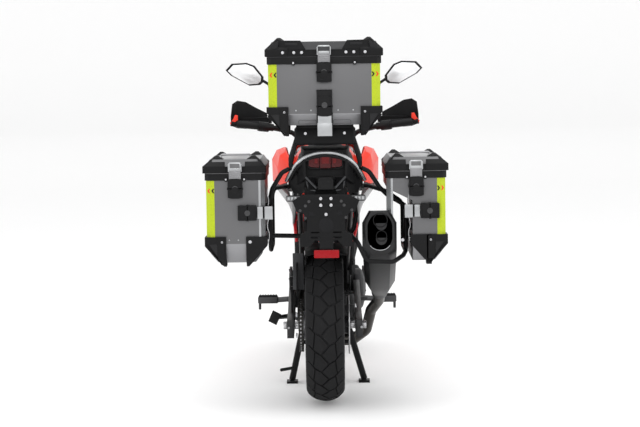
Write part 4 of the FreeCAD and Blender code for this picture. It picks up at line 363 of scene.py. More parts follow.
class Blank:
    """A mesh that is shaped with the edit-mode tools."""
    FACING = 0.9

    def __init__(self, form: Form, at: Point, size: Point, way: Union[Way, Euler] = Way.Z,
                 sides: int = 24) -> None:
        """Adds the primitive.

        Args:
            form: which primitive.
            at: its middle, in metres.
            size: its size along its own axes before it is turned to its way.
            way: the direction of its own Z axis, or a turn.
            sides: how many sides a round one has.
        """
        clear_selection()
        turn = way.value if isinstance(way, Way) else way
        place = {"location": at, "rotation": turn}
        if form is Form.BLOCK:
            bpy.ops.mesh.primitive_cube_add(size=1, **place)
        elif form is Form.ROD:
            bpy.ops.mesh.primitive_cylinder_add(vertices=sides, radius=0.5, depth=1, **place)
        elif form is Form.DISC:
            bpy.ops.mesh.primitive_circle_add(vertices=sides, radius=0.5, fill_type="NGON", **place)
        elif form is Form.BALL:
            bpy.ops.mesh.primitive_uv_sphere_add(segments=sides, ring_count=sides // 2, radius=0.5,
                                                 **place)
        else:
            bpy.ops.mesh.primitive_plane_add(size=1, **place)
        self.piece = bpy.context.object
        self.piece.scale = size
        bpy.ops.object.transform_apply(location=True, rotation=True, scale=True)

    @classmethod
    def of(cls, piece: bpy.types.Object) -> "Blank":
        """A blank round a mesh that is there already."""
        blank = object.__new__(cls)
        blank.piece = piece
        return blank

    def _edit(self, kind: str = "FACE") -> bmesh.types.BMesh:
        """Enters edit mode with nothing selected.

        Args:
            kind: the selection mode.

        Returns:
            The mesh being edited.
        """
        if bpy.context.object is not self.piece or self.piece.mode != "EDIT":
            activate(self.piece)
            bpy.ops.object.mode_set(mode="EDIT")
        bpy.ops.mesh.select_mode(type=kind)
        bpy.ops.mesh.select_all(action="DESELECT")
        return bmesh.from_edit_mesh(self.piece.data)

    def faces(self, pick: Pick) -> "Blank":
        """Selects faces by their middle and normal."""
        mesh = self._edit()
        for face in mesh.faces:
            face.select_set(pick(face.calc_center_median(), face.normal))
        bmesh.update_edit_mesh(self.piece.data)
        return self

    def facing(self, x: float, y: float, z: float) -> "Blank":
        """Selects the faces that look a given way."""
        aim = Vector((x, y, z)).normalized()
        return self.faces(lambda middle, normal: normal.dot(aim) > self.FACING)

    def edges(self, pick: Pick) -> "Blank":
        """Selects edges by their middle and direction."""
        mesh = self._edit("EDGE")
        for edge in mesh.edges:
            first, second = (vert.co for vert in edge.verts)
            edge.select_set(pick((first + second) / 2, (second - first).normalized()))
        bmesh.update_edit_mesh(self.piece.data)
        return self

    def points(self, pick: Callable[[Vector], bool]) -> "Blank":
        """Selects points by their place."""
        mesh = self._edit("VERT")
        for vert in mesh.verts:
            vert.select_set(pick(vert.co))
        mesh.select_flush_mode()
        bmesh.update_edit_mesh(self.piece.data)
        return self

    def all(self) -> "Blank":
        """Selects the whole mesh."""
        self._edit()
        bpy.ops.mesh.select_all(action="SELECT")
        return self

    def extrude(self, x: float = 0, y: float = 0, z: float = 0) -> "Blank":
        """Extrudes what is selected by a step."""
        bpy.ops.mesh.extrude_region_move(TRANSFORM_OT_translate={"value": (x, y, z)})
        return self

    def inset(self, width: float, depth: float = 0.0) -> "Blank":
        """Insets the selected faces, and sinks (or raises) them by depth."""
        bpy.ops.mesh.inset(thickness=width, depth=depth)
        return self

    def move(self, x: float = 0, y: float = 0, z: float = 0) -> "Blank":
        """Moves what is selected."""
        bpy.ops.transform.translate(value=(x, y, z))
        return self

    def scale(self, x: float, y: float, z: float) -> "Blank":
        """Scales what is selected about its middle."""
        chosen = [vert.co for vert in bmesh.from_edit_mesh(self.piece.data).verts if vert.select]
        about = sum(chosen, Vector()) / max(1, len(chosen))
        bpy.ops.transform.resize(value=(x, y, z), center_override=tuple(about))
        return self

    def bevel(self, width: float, steps: int = 2) -> "Blank":
        """Bevels the selected edges."""
        bpy.ops.mesh.bevel(offset=width, segments=steps, affect="EDGES")
        return self

    def remove(self) -> "Blank":
        """Deletes the selected faces."""
        bpy.ops.mesh.delete(type="FACE")
        return self

    def modify(self, kind: str, **settings: object) -> "Blank":
        """Adds a modifier, sets it and applies it."""
        activate(self.piece)
        bpy.ops.object.modifier_add(type=kind)
        modifier = self.piece.modifiers[-1]
        for name, value in settings.items():
            setattr(modifier, name, value)
        bpy.ops.object.modifier_apply(modifier=modifier.name)
        return self

    def soften(self, width: float, steps: int = 2, angle: float = 30) -> "Blank":
        """Rounds every sharp edge and shades the piece smooth."""
        self.modify("BEVEL", width=width, segments=steps, limit_method="ANGLE",
                    angle_limit=math.radians(angle), use_clamp_overlap=True)
        return self.smooth()

    def smooth(self, angle: float = 35) -> "Blank":
        """Shades smooth across angles under the given one."""
        activate(self.piece)
        bpy.ops.object.shade_smooth_by_angle(angle=math.radians(angle))
        return self

    def row(self, count: int, step: Point) -> "Blank":
        """Repeats the piece along a step."""
        return self.modify("ARRAY", count=count, use_relative_offset=False, use_constant_offset=True,
                           constant_offset_displace=step)

    def round(self, count: int, centre: Vector) -> "Blank":
        """Repeats the piece round an axle, as many times as fill the circle."""
        turn = Matrix.Rotation(math.tau / count, 4, "X")
        clear_selection()
        bpy.ops.object.empty_add(location=centre - turn.to_3x3() @ centre, rotation=turn.to_euler())
        guide = bpy.context.object
        self.modify("ARRAY", count=count, use_relative_offset=False, use_object_offset=True,
                    offset_object=guide)
        bpy.data.objects.remove(guide)
        return self

    def tidy(self) -> "Blank":
        """Turns every face outwards."""
        self.all()
        bpy.ops.mesh.normals_make_consistent(inside=False)
        return self

    def join(self, *others: "Blank") -> "Blank":
        """Joins other blanks into this one."""
        activate(self.piece)
        for other in others:
            other.piece.select_set(True)
        bpy.ops.object.join()
        return self

    def copy(self, x: float = 0, y: float = 0, z: float = 0) -> "Blank":
        """A copy with its own mesh, moved by a step."""
        activate(self.piece)
        bpy.ops.object.duplicate(linked=False)
        twin = Blank.of(bpy.context.object)
        twin.all().move(x, y, z)
        return twin


def fused(blanks: Sequence[Blank]) -> Blank:
    """All blanks of a list joined into its first."""
    return blanks[0].join(*blanks[1:])


def polygon(outline: Sequence[tuple[float, float]], way: Way, at: float, thick: float) -> Blank:
    """A flat plate from its outline.

    Args:
        outline: corners in the plane across the way, in order: (y, z), (x, z) or (x, y).
        way: the direction of its thickness.
        at: where its first face lies along the way.
        thick: its thickness, either sign.

    Returns:
        The plate.
    """
    blank = Blank(Form.DISC, (0, 0, 0), (1, 1, 1), Way.Z, len(outline))
    mesh = blank._edit("VERT")
    spots = {Way.X: lambda a, b: (at, a, b), Way.Y: lambda a, b: (a, at, b),
             Way.Z: lambda a, b: (a, b, at)}[way]
    for vert, corner in zip(mesh.verts, outline):
        vert.co = spots(*corner)
    bmesh.update_edit_mesh(blank.piece.data)
    step = {Way.X: (thick, 0, 0), Way.Y: (0, thick, 0), Way.Z: (0, 0, thick)}[way]
    return blank.all().extrude(*step).tidy()


def tube(points: Sequence[Point], radius: float, smooth: bool = True) -> Blank:
    """A fixed pipe or hose along a line.

    Args:
        points: the line's control points.
        radius: the pipe's radius.
        smooth: whether the line curves past its points or runs straight between them.

    Returns:
        The pipe as a mesh with closed ends.
    """
    curve = bpy.data.curves.new("pipe", "CURVE")
    curve.dimensions = "3D"
    curve.bevel_depth = radius
    curve.bevel_resolution = 3
    curve.resolution_u = 8
    curve.use_fill_caps = True
    spline = curve.splines.new("NURBS" if smooth else "POLY")
    spline.points.add(len(points) - 1)
    for knot, point in zip(spline.points, points):
        knot.co = (*point, 1)
    if smooth:
        spline.order_u = 3
        spline.use_endpoint_u = True
    piece = bpy.data.objects.new("pipe", curve)
    bpy.context.collection.objects.link(piece)
    activate(piece)
    bpy.ops.object.convert(target="MESH")
    return Blank.of(bpy.context.object).smooth(50)


def ribbon(path: Sequence[tuple[float, float]], low: float, high: float, thick: float) -> Blank:
    """A thin upright band that follows a plan line.

    Args:
        path: (x, y) corners in order.
        low: the band's lower edge.
        high: its upper edge.
        thick: how far it stands out, to the right of the path's direction.

    Returns:
        The band.
    """
    (x0, y0), (x1, y1) = path[:2]
    blank = Blank(Form.CARD, ((x0 + x1) / 2, (y0 + y1) / 2, (low + high) / 2),
                  (math.hypot(x1 - x0, y1 - y0), high - low, 1),
                  Euler((math.pi / 2, 0, math.atan2(y1 - y0, x1 - x0))))
    for (xa, ya), (xb, yb) in zip(path[1:], path[2:]):
        blank.edges(lambda middle, run, xa=xa, ya=ya: abs(run.z) > 0.9
                    and math.hypot(middle.x - xa, middle.y - ya) < 1e-4)
        blank.extrude(xb - xa, yb - ya)
    return blank.modify("SOLIDIFY", thickness=thick, offset=1).smooth()


class Shop:
    """The frame's nodes and what has been made for them."""

    def __init__(self, frame: dict) -> None:
        """Keeps the frame and the finish slots its record names."""
        self.nodes = frame["nodes"]
        self.slots = {part["node"]: part["material_slot"] for part in frame["record"]["subparts"]}
        self.home = {node: body for body, nodes in frame["record"]["behaviour"]["bodies"].items()
                     for node in nodes}

    def claim(self, blank: Blank, name: str, finish: Finish, node: str,
              instead: bool = False) -> bpy.types.Object:
        """Names and dresses a piece, and makes it ride with a node's body.

        Args:
            blank: the piece.
            name: its name.
            finish: its finish.
            node: the node it belongs to.
            instead: whether it stands in the node's place.

        Returns:
            The finished object.
        """
        clear_selection()
        piece = blank.piece
        piece.name = name
        piece.data.name = name
        piece.data.materials.clear()
        piece.data.materials.append(finish.material())
        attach(piece, self.home[node])
        if instead:
            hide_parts(node)
        LOG.info("made %s", name)
        return piece

    def refine(self, node: str, finish: Finish, edge: float = 1.0, angle: float = 32,
               smooth: float = 38) -> bpy.types.Object:
        """A finer copy of a node with its edges rounded, standing in its place.

        Args:
            node: the node that it copies.
            finish: its finish.
            edge: the radius of its edges, in millimetres.
            angle: the angle over which an edge is rounded, in degrees.
            smooth: the angle under which faces are shaded as one, in degrees.

        Returns:
            The finished object.
        """
        source = self.nodes[node]
        piece = bpy.data.objects.new(f"{node}_finished", source.data.copy())
        bpy.context.collection.objects.link(piece)
        blank = Blank.of(piece).all()
        bpy.ops.mesh.remove_doubles(threshold=0.00002)
        bpy.ops.mesh.dissolve_limited(angle_limit=math.radians(1.5))
        if edge:
            blank.modify("BEVEL", width=edge * MM, segments=2, limit_method="ANGLE",
                         angle_limit=math.radians(angle), use_clamp_overlap=True)
        blank.smooth(smooth)
        return self.claim(blank, f"{node}_finished", finish, node, True)

    def refine_each(self, *rows: tuple[str, Finish, float]) -> None:
        """Refines nodes from rows of node, finish and edge radius in millimetres."""
        for node, finish, edge in rows:
            self.refine(node, finish, edge)


def corners_of(node: str) -> tuple[Vector, Vector]:
    """The lowest and highest corner of a node's box."""
    low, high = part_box(node)
    return Vector(low), Vector(high)


def middle(node: str) -> Vector:
    """The middle of a node's box."""
    low, high = corners_of(node)
    return (low + high) / 2


def bolt(at: Point, way: Way, out: float, size: float = 8, washer: bool = False) -> Blank:
    """A socket-head bolt.

    Args:
        at: where its head meets the surface, in metres.
        way: the axis that it runs along.
        out: +1 or -1, the side that its head stands out to.
        size: its head's diameter, in millimetres.
        washer: whether a washer lies under it.

    Returns:
        The bolt's head.
    """
    width = size * MM
    aim = AIMS[way] * out
    head = Blank(Form.ROD, Vector(at) + aim * width * 0.25, (width, width, width * 0.5), way, 12)
    head.facing(*aim).inset(width * 0.24).inset(width * 0.02, -width * 0.26)
    head.edges(lambda spot, run: (spot - Vector(at)).dot(aim) > width * 0.45 and abs(run.dot(aim)) < 0.1
               and (spot - Vector(at)).length > width * 0.6).bevel(width * 0.06)
    if washer:
        head.join(Blank(Form.ROD, Vector(at) + aim * 0.0006, (width * 1.5, width * 1.5, 0.0012), way, 16))
    return head.smooth()


def bolts(spots: Iterable[Point], way: Way, out: float, size: float = 8, washer: bool = False) -> Blank:
    """Bolts at each spot, joined into one blank."""
    spots = [Vector(spot) for spot in spots]
    first = bolt(spots[0], way, out, size, washer)
    rest = [first.copy(*(spot - spots[0])) for spot in spots[1:]]
    return first.join(*rest) if rest else first


# ------------------------------------------------------------------ places on the machine

SIDES = (("left", -1), ("right", 1))
WORDS = {side: word for word, side in SIDES}
REAR = middle("rear_axle")
FRONT = middle("front_axle")


def at(x: float, y: float, z: float) -> Vector:
    """A place on the machine.

    Args:
        x: millimetres to the right of the middle plane.
        y: millimetres ahead of the rear axle.
        z: millimetres above the floor.

    Returns:
        The same place in metres in the frame's own coordinates.
    """
    return Vector((x * MM, REAR.y + y * MM, z * MM))


def slab(x0: float, x1: float, y0: float, y1: float, z0: float, z1: float) -> Blank:
    """A block between two corners given in millimetres."""
    return Blank(Form.BLOCK, at((x0 + x1) / 2, (y0 + y1) / 2, (z0 + z1) / 2),
                 ((x1 - x0) * MM, (y1 - y0) * MM, (z1 - z0) * MM))


def hose(points: Sequence[Point], radius: float, smooth: bool = True) -> Blank:
    """A pipe along places given in millimetres."""
    return tube([at(*point) for point in points], radius * MM, smooth)


def cut_plate(outline: Sequence[tuple[float, float]], way: Way, start: float, thick: float) -> Blank:
    """A flat plate from an outline in millimetres.

    Args:
        outline: corners (y, z), (x, z) or (x, y), for a plate whose thickness runs along X, Y or Z.
        way: the direction of its thickness.
        start: where its first face lies along the way.
        thick: its thickness, either sign.

    Returns:
        The plate.
    """
    if way is Way.X:
        corners = [(REAR.y + y * MM, z * MM) for y, z in outline]
    elif way is Way.Y:
        corners = [(x * MM, z * MM) for x, z in outline]
    else:
        corners = [(x * MM, REAR.y + y * MM) for x, y in outline]
    first = REAR.y + start * MM if way is Way.Y else start * MM
    return polygon(corners, way, first, thick * MM)


def mirrored(outline: Sequence[tuple[float, float]]) -> list[tuple[float, float]]:
    """An outline turned left to right about the middle plane."""
    return [(-a, b) for a, b in reversed(outline)]


def ring_spots(across: float, radius: float) -> list[Vector]:
    """Six places on a circle round the rear axle, in metres across from its middle."""
    angles = [math.tau * k / 6 for k in range(6)]
    return [REAR + Vector((across, math.cos(a) * radius, math.sin(a) * radius)) for a in angles]


# ------------------------------------------------------------------ wheels

@dataclass
class Wheel:
    """A wheel: its tyre with tread blocks, its casting, and what turns with it."""
    end: str
    centre: Vector
    radius: float
    width: float
    crown: float
    bead: float
    pitches: int = 25

    GROOVE = 2.3
    DEPTH = 7.5

    def build(self, shop: Shop) -> None:
        """Makes the tyre and finishes the casting."""
        self._carcass(shop)
        self._tread(shop)
        shop.refine(f"{self.end}_rim", WHEEL, 1.2)
        self._valve(shop)

    def _carcass(self, shop: Shop) -> None:
        """The tyre's body: a profile spun round the axle."""
        half, r = self.width / 2, self.radius
        inner = 57 * self.width / 157
        rows = [(inner + 1, self.bead), (inner + 7, self.bead + 5), (half * 0.87, self.bead + 14),
                (half * 0.97, self.bead + 30), (half * 0.995, self.bead + 46), (half * 0.97, r - 42),
                (half * 0.93, r - 37)]
        for share in (0.72, 0.5, 0.25, 0):
            angle = share * half * 1.16 / self.crown
            rows.append((self.crown * math.sin(angle),
                         r - self.DEPTH - self.crown * (1 - math.cos(angle))))
        profile = rows + [(-x, height) for x, height in reversed(rows[:-1])]
        lining = [(-inner * 0.9, self.bead + 6), (-half * 0.9, r - 62), (0, r - 22), (half * 0.9, r - 62),
                  (inner * 0.9, self.bead + 6)]
        corners = [(x * MM, height * MM) for x, height in profile + lining]
        blank = polygon(corners, Way.Y, 0, 0.001)
        blank.facing(0, 1, 0).remove()
        blank.points(lambda spot: spot.y > 0.0005)
        bpy.ops.mesh.delete(type="VERT")
        blank.all().move(*self.centre)
        blank.all()
        bpy.ops.mesh.delete(type="ONLY_FACE")
        blank.all()
        bpy.ops.mesh.spin(steps=96, angle=math.tau, center=tuple(self.centre), axis=(1, 0, 0),
                          use_auto_merge=True)
        blank.all()
        bpy.ops.mesh.remove_doubles(threshold=0.00005)
        blank.tidy().smooth(50)
        shop.claim(blank, f"{self.end}_tyre_carcass", TYRE_WALL, f"{self.end}_tyre", True)

    def _wrap(self, blank: Blank) -> Blank:
        """Lays a flat block, drawn as x across, y along and z out, on the crown."""
        blank.all()
        mesh = bmesh.from_edit_mesh(blank.piece.data)
        for vert in mesh.verts:
            across, along, out = vert.co / MM
            angle = across / self.crown
            reach = self.crown - self.DEPTH + out
            height = self.radius - self.crown + reach * math.cos(angle)
            turn = along / self.radius
            vert.co = self.centre + Vector((reach * math.sin(angle), -height * math.cos(turn),
                                            height * math.sin(turn))) * MM
        bmesh.update_edit_mesh(blank.piece.data)
        return blank

    def _block(self, outline: list[tuple[float, float]], side: int, shift: float,
               cuts: Sequence[float]) -> Blank:
        """One tread block.

        Args:
            outline: (across, along) corners for the right side, in millimetres.
            side: +1 for the right half, -1 for the left.
            shift: how far it lies along the tyre.
            cuts: places across where it may bend.

        Returns:
            The block, wrapped on the crown.
        """
        corners = [(x * side * self.width / 157 * MM, (s + shift) * MM * self._stretch)
                   for x, s in outline]
        if side < 0:
            corners.reverse()
        blank = polygon(corners, Way.Z, -0.003, (self.DEPTH + 3) * MM)
        blank.facing(0, 0, 1)
        blank.bevel(0.0011, 1)
        for place in cuts:
            blank.all()
            bpy.ops.mesh.bisect(plane_co=(place * side * self.width / 157 * MM, 0, 0), plane_no=(1, 0, 0))
        return self._wrap(blank)

    @property
    def _stretch(self) -> float:
        """How much longer a pitch is than on the rear tyre."""
        return self.radius * math.tau / self.pitches / 78.4

    def _tread(self, shop: Shop) -> None:
        """The tread: big blocks in a zig-zag, an inner and an outer one on each side."""
        g = self.GROOVE
        inner = [(15 + g, 41.5), (34, 50.5), (47, 59), (42.5, 95), (39.5, 124), (36, 122.5),
                 (15 + g, 113), (-15 + g * 1.6, 78)]
        outer = [(51.5, 61.5), (58, 68), (71, 77), (84, 80), (84, 151), (71, 150.5), (52, 134),
                 (44.5, 127), (47.5, 95)]
        blocks = []
        for side, shift in ((1, 0.0), (-1, 39.2)):
            blocks.append(self._block(inner, side, shift, (8, 24)))
            blocks.append(self._block(outer, side, shift, (58, 71)))
        first = fused(blocks)
        first.tidy().round(self.pitches, self.centre).smooth(30)
        shop.claim(first, f"{self.end}_tyre_tread", TYRE, f"{self.end}_tyre", True)

    def _valve(self, shop: Shop) -> None:
        """The valve stem by the rim."""
        base = self.centre + Vector((0.012, 0, self.bead * MM - 0.012))
        stem = Blank(Form.ROD, base - Vector((0, 0, 0.014)), (0.008, 0.008, 0.034), Way.Z, 12)
        cap = Blank(Form.ROD, base - Vector((0, 0, 0.036)), (0.0095, 0.0095, 0.012), Way.Z,
                    12).soften(0.001)
        shop.claim(stem.join(cap).smooth(), f"{self.end}_valve", RUBBER, f"{self.end}_rim")


@dataclass
class Drive:
    """The chain, its sprockets and the guard over it."""
    plane: float = -108.0
    pitch: float = 15.875
    rear_radius: float = 103.7
    front: Point = (-108.0, 642.0, 413.0)
    front_radius: float = 38.2

    ARC_STEPS = 180

    def build(self, shop: Shop) -> None:
        """Makes the chain link by link and finishes the rest."""
        self._chain(shop)
        shop.refine_each(("rear_sprocket", STEEL, 0.6), ("chain_guard", PANEL, 1.2))
        shop.claim(bolts(ring_spots(-0.1125, 0.048), Way.X, -1, 13), "sprocket_nuts", SILVER_BOLT,
                   "rear_sprocket")

    def _route(self) -> list[tuple[float, float]]:
        """Pins of the chain as (y, z), evenly spaced round both sprockets."""
        rear = Vector((0.0, REAR.z / MM))
        fore = Vector((self.front[1], self.front[2]))
        line = fore - rear
        lean = math.atan2(line.y, line.x)
        spread = math.asin((self.rear_radius - self.front_radius) / line.length)
        marks: list[Vector] = []
        for step in range(self.ARC_STEPS + 1):
            angle = lean + math.pi / 2 + spread + (math.pi - 2 * spread) * step / self.ARC_STEPS
            marks.append(rear + self.rear_radius * Vector((math.cos(angle), math.sin(angle))))
        for step in range(self.ARC_STEPS + 1):
            angle = lean - math.pi / 2 - spread + (math.pi + 2 * spread) * step / self.ARC_STEPS
            marks.append(fore + self.front_radius * Vector((math.cos(angle), math.sin(angle))))
        marks.append(marks[0])
        lengths = [0.0]
        for first, last in zip(marks, marks[1:]):
            lengths.append(lengths[-1] + (last - first).length)
        count = 2 * round(lengths[-1] / self.pitch / 2)
        pins, index = [], 0
        for number in range(count):
            goal = lengths[-1] * number / count
            while lengths[index + 1] < goal:
                index += 1
            share = (goal - lengths[index]) / max(1e-9, lengths[index + 1] - lengths[index])
            spot = marks[index].lerp(marks[index + 1], share)
            pins.append((spot.x, spot.y))
        return pins

    def _link(self, reach: float, thick: float) -> Blank:
        """A pair of side plates, as long as one pitch, lying along Y at the origin."""
        plates = []
        for side in (-1, 1):
            plate = Blank(Form.ROD, (side * reach * MM, 0, 0), (0.014, 0.014, thick * MM), Way.X, 14)
            plate.points(lambda spot: spot.y > 0.0005).move(0, self.pitch * MM, 0)
            waist = plate.points(lambda spot: abs(spot.y - self.pitch * MM / 2) < self.pitch * MM * 0.6
                                 and abs(spot.z) > 0.0066)
            waist.scale(1, 1, 0.86)
            plates.append(plate)
        return fused(plates)

    def _chain(self, shop: Shop) -> None:
        """Inner and outer links with rollers along the route."""
        pins = self._route()
        roller = Blank(Form.ROD, (0, 0, 0), (0.0104, 0.0104, 0.0095), Way.X, 12)
        pin = Blank(Form.ROD, (0, 0, 0), (0.0052, 0.0052, 0.021), Way.X, 10)
        kinds = (self._link(6.2, 2.0), self._link(8.6, 2.0), roller.join(pin))
        shapes = [kind.piece for kind in kinds]
        mesh = bmesh.new()
        for number, (y, z) in enumerate(pins):
            next_y, next_z = pins[(number + 1) % len(pins)]
            turn = Matrix.Rotation(math.atan2(next_z - z, next_y - y), 4, "X")
            move = Matrix.Translation(at(self.plane, y, z))
            for shape in (shapes[number % 2], shapes[2]):
                data = shape.data.copy()
                data.transform(move @ turn)
                mesh.from_mesh(data)
                bpy.data.meshes.remove(data)
        kinds[0].all()
        bpy.ops.object.mode_set(mode="OBJECT")
        mesh.to_mesh(kinds[0].piece.data)
        mesh.free()
        for shape in shapes[1:]:
            bpy.data.objects.remove(shape)
        kinds[0].tidy().smooth(40)
        shop.claim(kinds[0], "drive_chain_links", DARK_STEEL, "drive_chain", True)


@dataclass
class Brakes:
    """Discs, their carriers and the calipers."""

    def build(self, shop: Shop) -> None:
        """Finishes the discs and calipers and adds their bolts and hoses."""
        shop.refine_each(("front_discs", DISC, 0.4), ("rear_disc", DISC, 0.4),
                         ("front_calipers", GREY_ALLOY, 2.0), ("rear_caliper", GREY_ALLOY, 2.0))
        shop.claim(bolts(ring_spots(0.0915, 0.052), Way.X, 1, 10), "rear_disc_bolts", BOLT, "rear_disc")
        low, high = corners_of("rear_caliper")
        middle_spot = (low + high) / 2
        pins = bolts([Vector((high.x, middle_spot.y + step, middle_spot.z)) for step in (-0.028, 0.028)],
                     Way.X, 1, 11)
        shop.claim(pins, "rear_caliper_pins", SILVER_BOLT, "rear_caliper")
        top = (high.x - 0.02, middle_spot.y, high.z - 0.006)
        line = tube([top, (top[0], top[1] + 0.03, top[2] + 0.05), (0.1, top[1] + 0.2, top[2] + 0.06),
                     tuple(at(104, 480, 470))], 0.0032)
        shop.claim(line, "rear_brake_hose", RUBBER, "rear_caliper")


# ------------------------------------------------------------------ luggage

@dataclass
class Case:
    """A folded-sheet luggage case with its lid, corner armour, latches and reflective strips."""
    name: str
    x0: float
    x1: float
    y0: float
    y1: float
    floor: float
    split: float
    top: float
    fold: float
    guard_top: float
    strips: tuple[int, ...]
    silver: int = 0

    BAND = 26.0
    LIP = 5.0
    CUT = 16.0

    @property
    def centre(self) -> float:
        """The middle of the case across the machine."""
        return (self.x0 + self.x1) / 2

    def edge(self, side: int) -> float:
        """Its wall on a side, across the machine."""
        return self.x1 if side > 0 else self.x0

    def build(self, shop: Shop) -> None:
        """Makes everything on the case's shell."""
        body = shop.refine(f"{self.name}_case_body", CASE, 2.2)
        self._paint_fold_reflection(body)
        lid = shop.refine(f"{self.name}_case_lid", CASE_LID if self.x0 < 0 < self.x1 else CASE, 2.6)
        if self.silver:
            lid.data.materials.append(ALLOY.material())
            for face in lid.data.polygons:
                height = face.center.z / MM - self.top
                if height > 2 or (face.normal.z > 0.9 and height > -8):
                    face.material_index = 1
        shop.refine(f"{self.name}_lid_armour", ARMOUR, 2.4)
        self._lid_band(shop)
        self._latch(shop)
        self._strips(shop)
        self._fasteners(shop)

    def _paint_fold_reflection(self, body: bpy.types.Object) -> None:
        """Gives the faces that fold in under the walls a lighter copy of the case's finish, a painted
        reflection of the pale floor.
        """
        body.data.materials.append(CASE_FOLD_PAINTED_REFLECTION.material())
        for face in body.data.polygons:
            # Faces that look down get the painted floor reflection.
            if -0.97 < face.normal.z < -0.12 and face.area > 0.0004:
                face.material_index = 1

    def _outline(self, grow: float) -> list[tuple[float, float]]:
        """The case's plan outline, anticlockwise from above, grown outwards."""
        x0, x1, y0, y1 = self.x0 - grow, self.x1 + grow, self.y0 - grow, self.y1 + grow
        c = self.CUT
        return [(x0 + c, y0), (x1 - c, y0), (x1, y0 + c), (x1, y1 - c), (x1 - c, y1), (x0 + c, y1),
                (x0, y1 - c), (x0, y0 + c), (x0 + c, y0)]

    def _band(self, path: Sequence[tuple[float, float]], low: float, high: float, thick: float) -> Blank:
        """A thin band along a plan line given in millimetres."""
        metres = [(x * MM, REAR.y + y * MM) for x, y in path]
        return ribbon(metres, low * MM, high * MM, thick * MM)

    def _lid_band(self, shop: Shop) -> None:
        """The black skirt round the lid's lower edge and the seal above it."""
        loop = self._outline(self.LIP)
        skirt = self._band(loop, self.split + 2.5, self.split + 29, 1.6)
        bead = self._band(loop, self.split + 25, self.split + 28.6, 3.0)
        seam = self._band(loop, self.split + 3, self.split + 6.5, 2.8)
        shop.claim(skirt.join(bead, seam).soften(0.0005, 1), f"{self.name}_lid_skirt", ARMOUR,
                   f"{self.name}_case_lid")

    def _latch(self, shop: Shop) -> None:
        """The latch that holds the lid: black body, lock, ribbed strap and bright hook."""
        x, y = self.centre, self.y0
        top = self.split - 19
        body = self.latch_body(x, top - 39, y, 58, 79)
        shop.claim(body, f"{self.name}_latch", FITTING, "case_fittings")
        shop.claim(self.lock(x, top - 39, y - 21), f"{self.name}_lock", GREY_ALLOY, "case_fittings")
        strap = slab(x - 23.5, x + 23.5, y - 15.5, y - 8, self.split - 24, self.split + 12)
        ribs = slab(x - 23.5, x + 23.5, y - 17.6, y - 8, self.split - 21,
                    self.split - 17).row(5, (0, 0, 0.0075))
        shop.claim(strap.join(ribs).soften(0.0009, 2), f"{self.name}_latch_strap", HEAT_SHIELD,
                   f"{self.name}_case_lid")
        plate = cut_plate([(x - 27, self.split + 8), (x + 27, self.split + 8), (x + 27, self.split + 38),
                           (x + 21, self.split + 45), (x - 21, self.split + 45),
                           (x - 27, self.split + 38)], Way.Y, y - 8.5, -4.5)
        pad = slab(x - 21, x + 21, y - 15.8, y - 12, self.split + 12, self.split + 23)
        hole = Blank(Form.ROD, at(x, y - 13.2, self.split + 37.5), (0.005, 0.005, 0.0012), Way.Y, 12)
        shop.claim(plate.join(pad).soften(0.0012, 3), f"{self.name}_latch_hook", LATCH_PLATE,
                   f"{self.name}_case_lid")
        shop.claim(hole, f"{self.name}_hook_rivet", BOLT, f"{self.name}_case_lid")

    @staticmethod
    def latch_body(x: float, z: float, y: float, wide: float, high: float) -> Blank:
        """A barrel-shaped latch housing on a wall that faces the rear.

        Args:
            x: its middle across the machine.
            z: its middle's height.
            y: the wall.
            wide: its width.
            high: its height.

        Returns:
            The housing.
        """
        w, h = wide / 2, high / 2
        bow = 3.5
        if high > wide:
            half = [(-w, -h + bow), (-w * 0.4, -h), (w * 0.4, -h), (w, -h + bow), (w, -5), (w + 2.5, -4),
                    (w + 2.5, 4), (w, 5)]
        else:
            half = [(-w + bow, -h), (-5, -h), (-4, -h - 2.5), (4, -h - 2.5), (5, -h), (w - bow, -h),
                    (w, -h * 0.4), (w, h * 0.4)]
        outline = half + [(-a, -b) for a, b in half]
        outline = [(x + a, z + b) for a, b in outline]
        body = cut_plate(outline, Way.Y, y - 0.6, -20)
        body.facing(0, -1, 0).inset(0.006, 0.0).inset(0.001, 0.0016)
        return body.soften(0.0026, 3, 40)

    @staticmethod
    def lock(x: float, z: float, y: float) -> Blank:
        """A round key lock with its slot, on a face that looks to the rear."""
        barrel = Blank(Form.ROD, at(x, y - 1.2, z), (0.0225, 0.0225, 0.005), Way.Y, 28)
        barrel.facing(0, -1, 0).inset(0.0028).inset(0.0006, -0.0014)
        slot = slab(x - 1, x + 1, y - 3.9, y - 2, z - 5, z + 5)
        return barrel.join(slot).soften(0.0004, 2)

    def _strips(self, shop: Shop) -> None:
        """Reflective strips round the rear corners, with two small chevrons on each."""
        low, high = self.guard_top, self.split - self.BAND - 1
        for side in self.strips:
            strip = self._corner_band(side, low, high, 33)
            word = WORDS[side]
            shop.claim(strip, f"{self.name}_{word}_reflector", YELLOW, f"{self.name}_case_body")
            edge = self.edge(side)
            for far, finish, kind in ((27, BLACK_MARK, "dark"), (11, RED_MARK, "red")):
                mark = self._chevron(edge - side * far, high - 40, side)
                shop.claim(mark, f"{self.name}_{word}_{kind}_chevron", finish, f"{self.name}_case_body")
        if self.silver:
            strip = self._corner_band(self.silver, low, high, 24)
            shop.claim(strip, f"{self.name}_inner_strip", LATCH_PLATE, f"{self.name}_case_body")

    def _corner_band(self, side: int, low: float, high: float, wide: float) -> Blank:
        """A band round a rear corner of the body, from wide inside the edge to 60 mm along the flank."""
        c = self.CUT
        if side > 0:
            path = [(self.x1 - wide, self.y0), (self.x1 - c, self.y0), (self.x1, self.y0 + c),
                    (self.x1, self.y0 + 60)]
        else:
            path = [(self.x0, self.y0 + 60), (self.x0, self.y0 + c), (self.x0 + c, self.y0),
                    (self.x0 + wide, self.y0)]
        return self._band(path, low, high, 0.6)

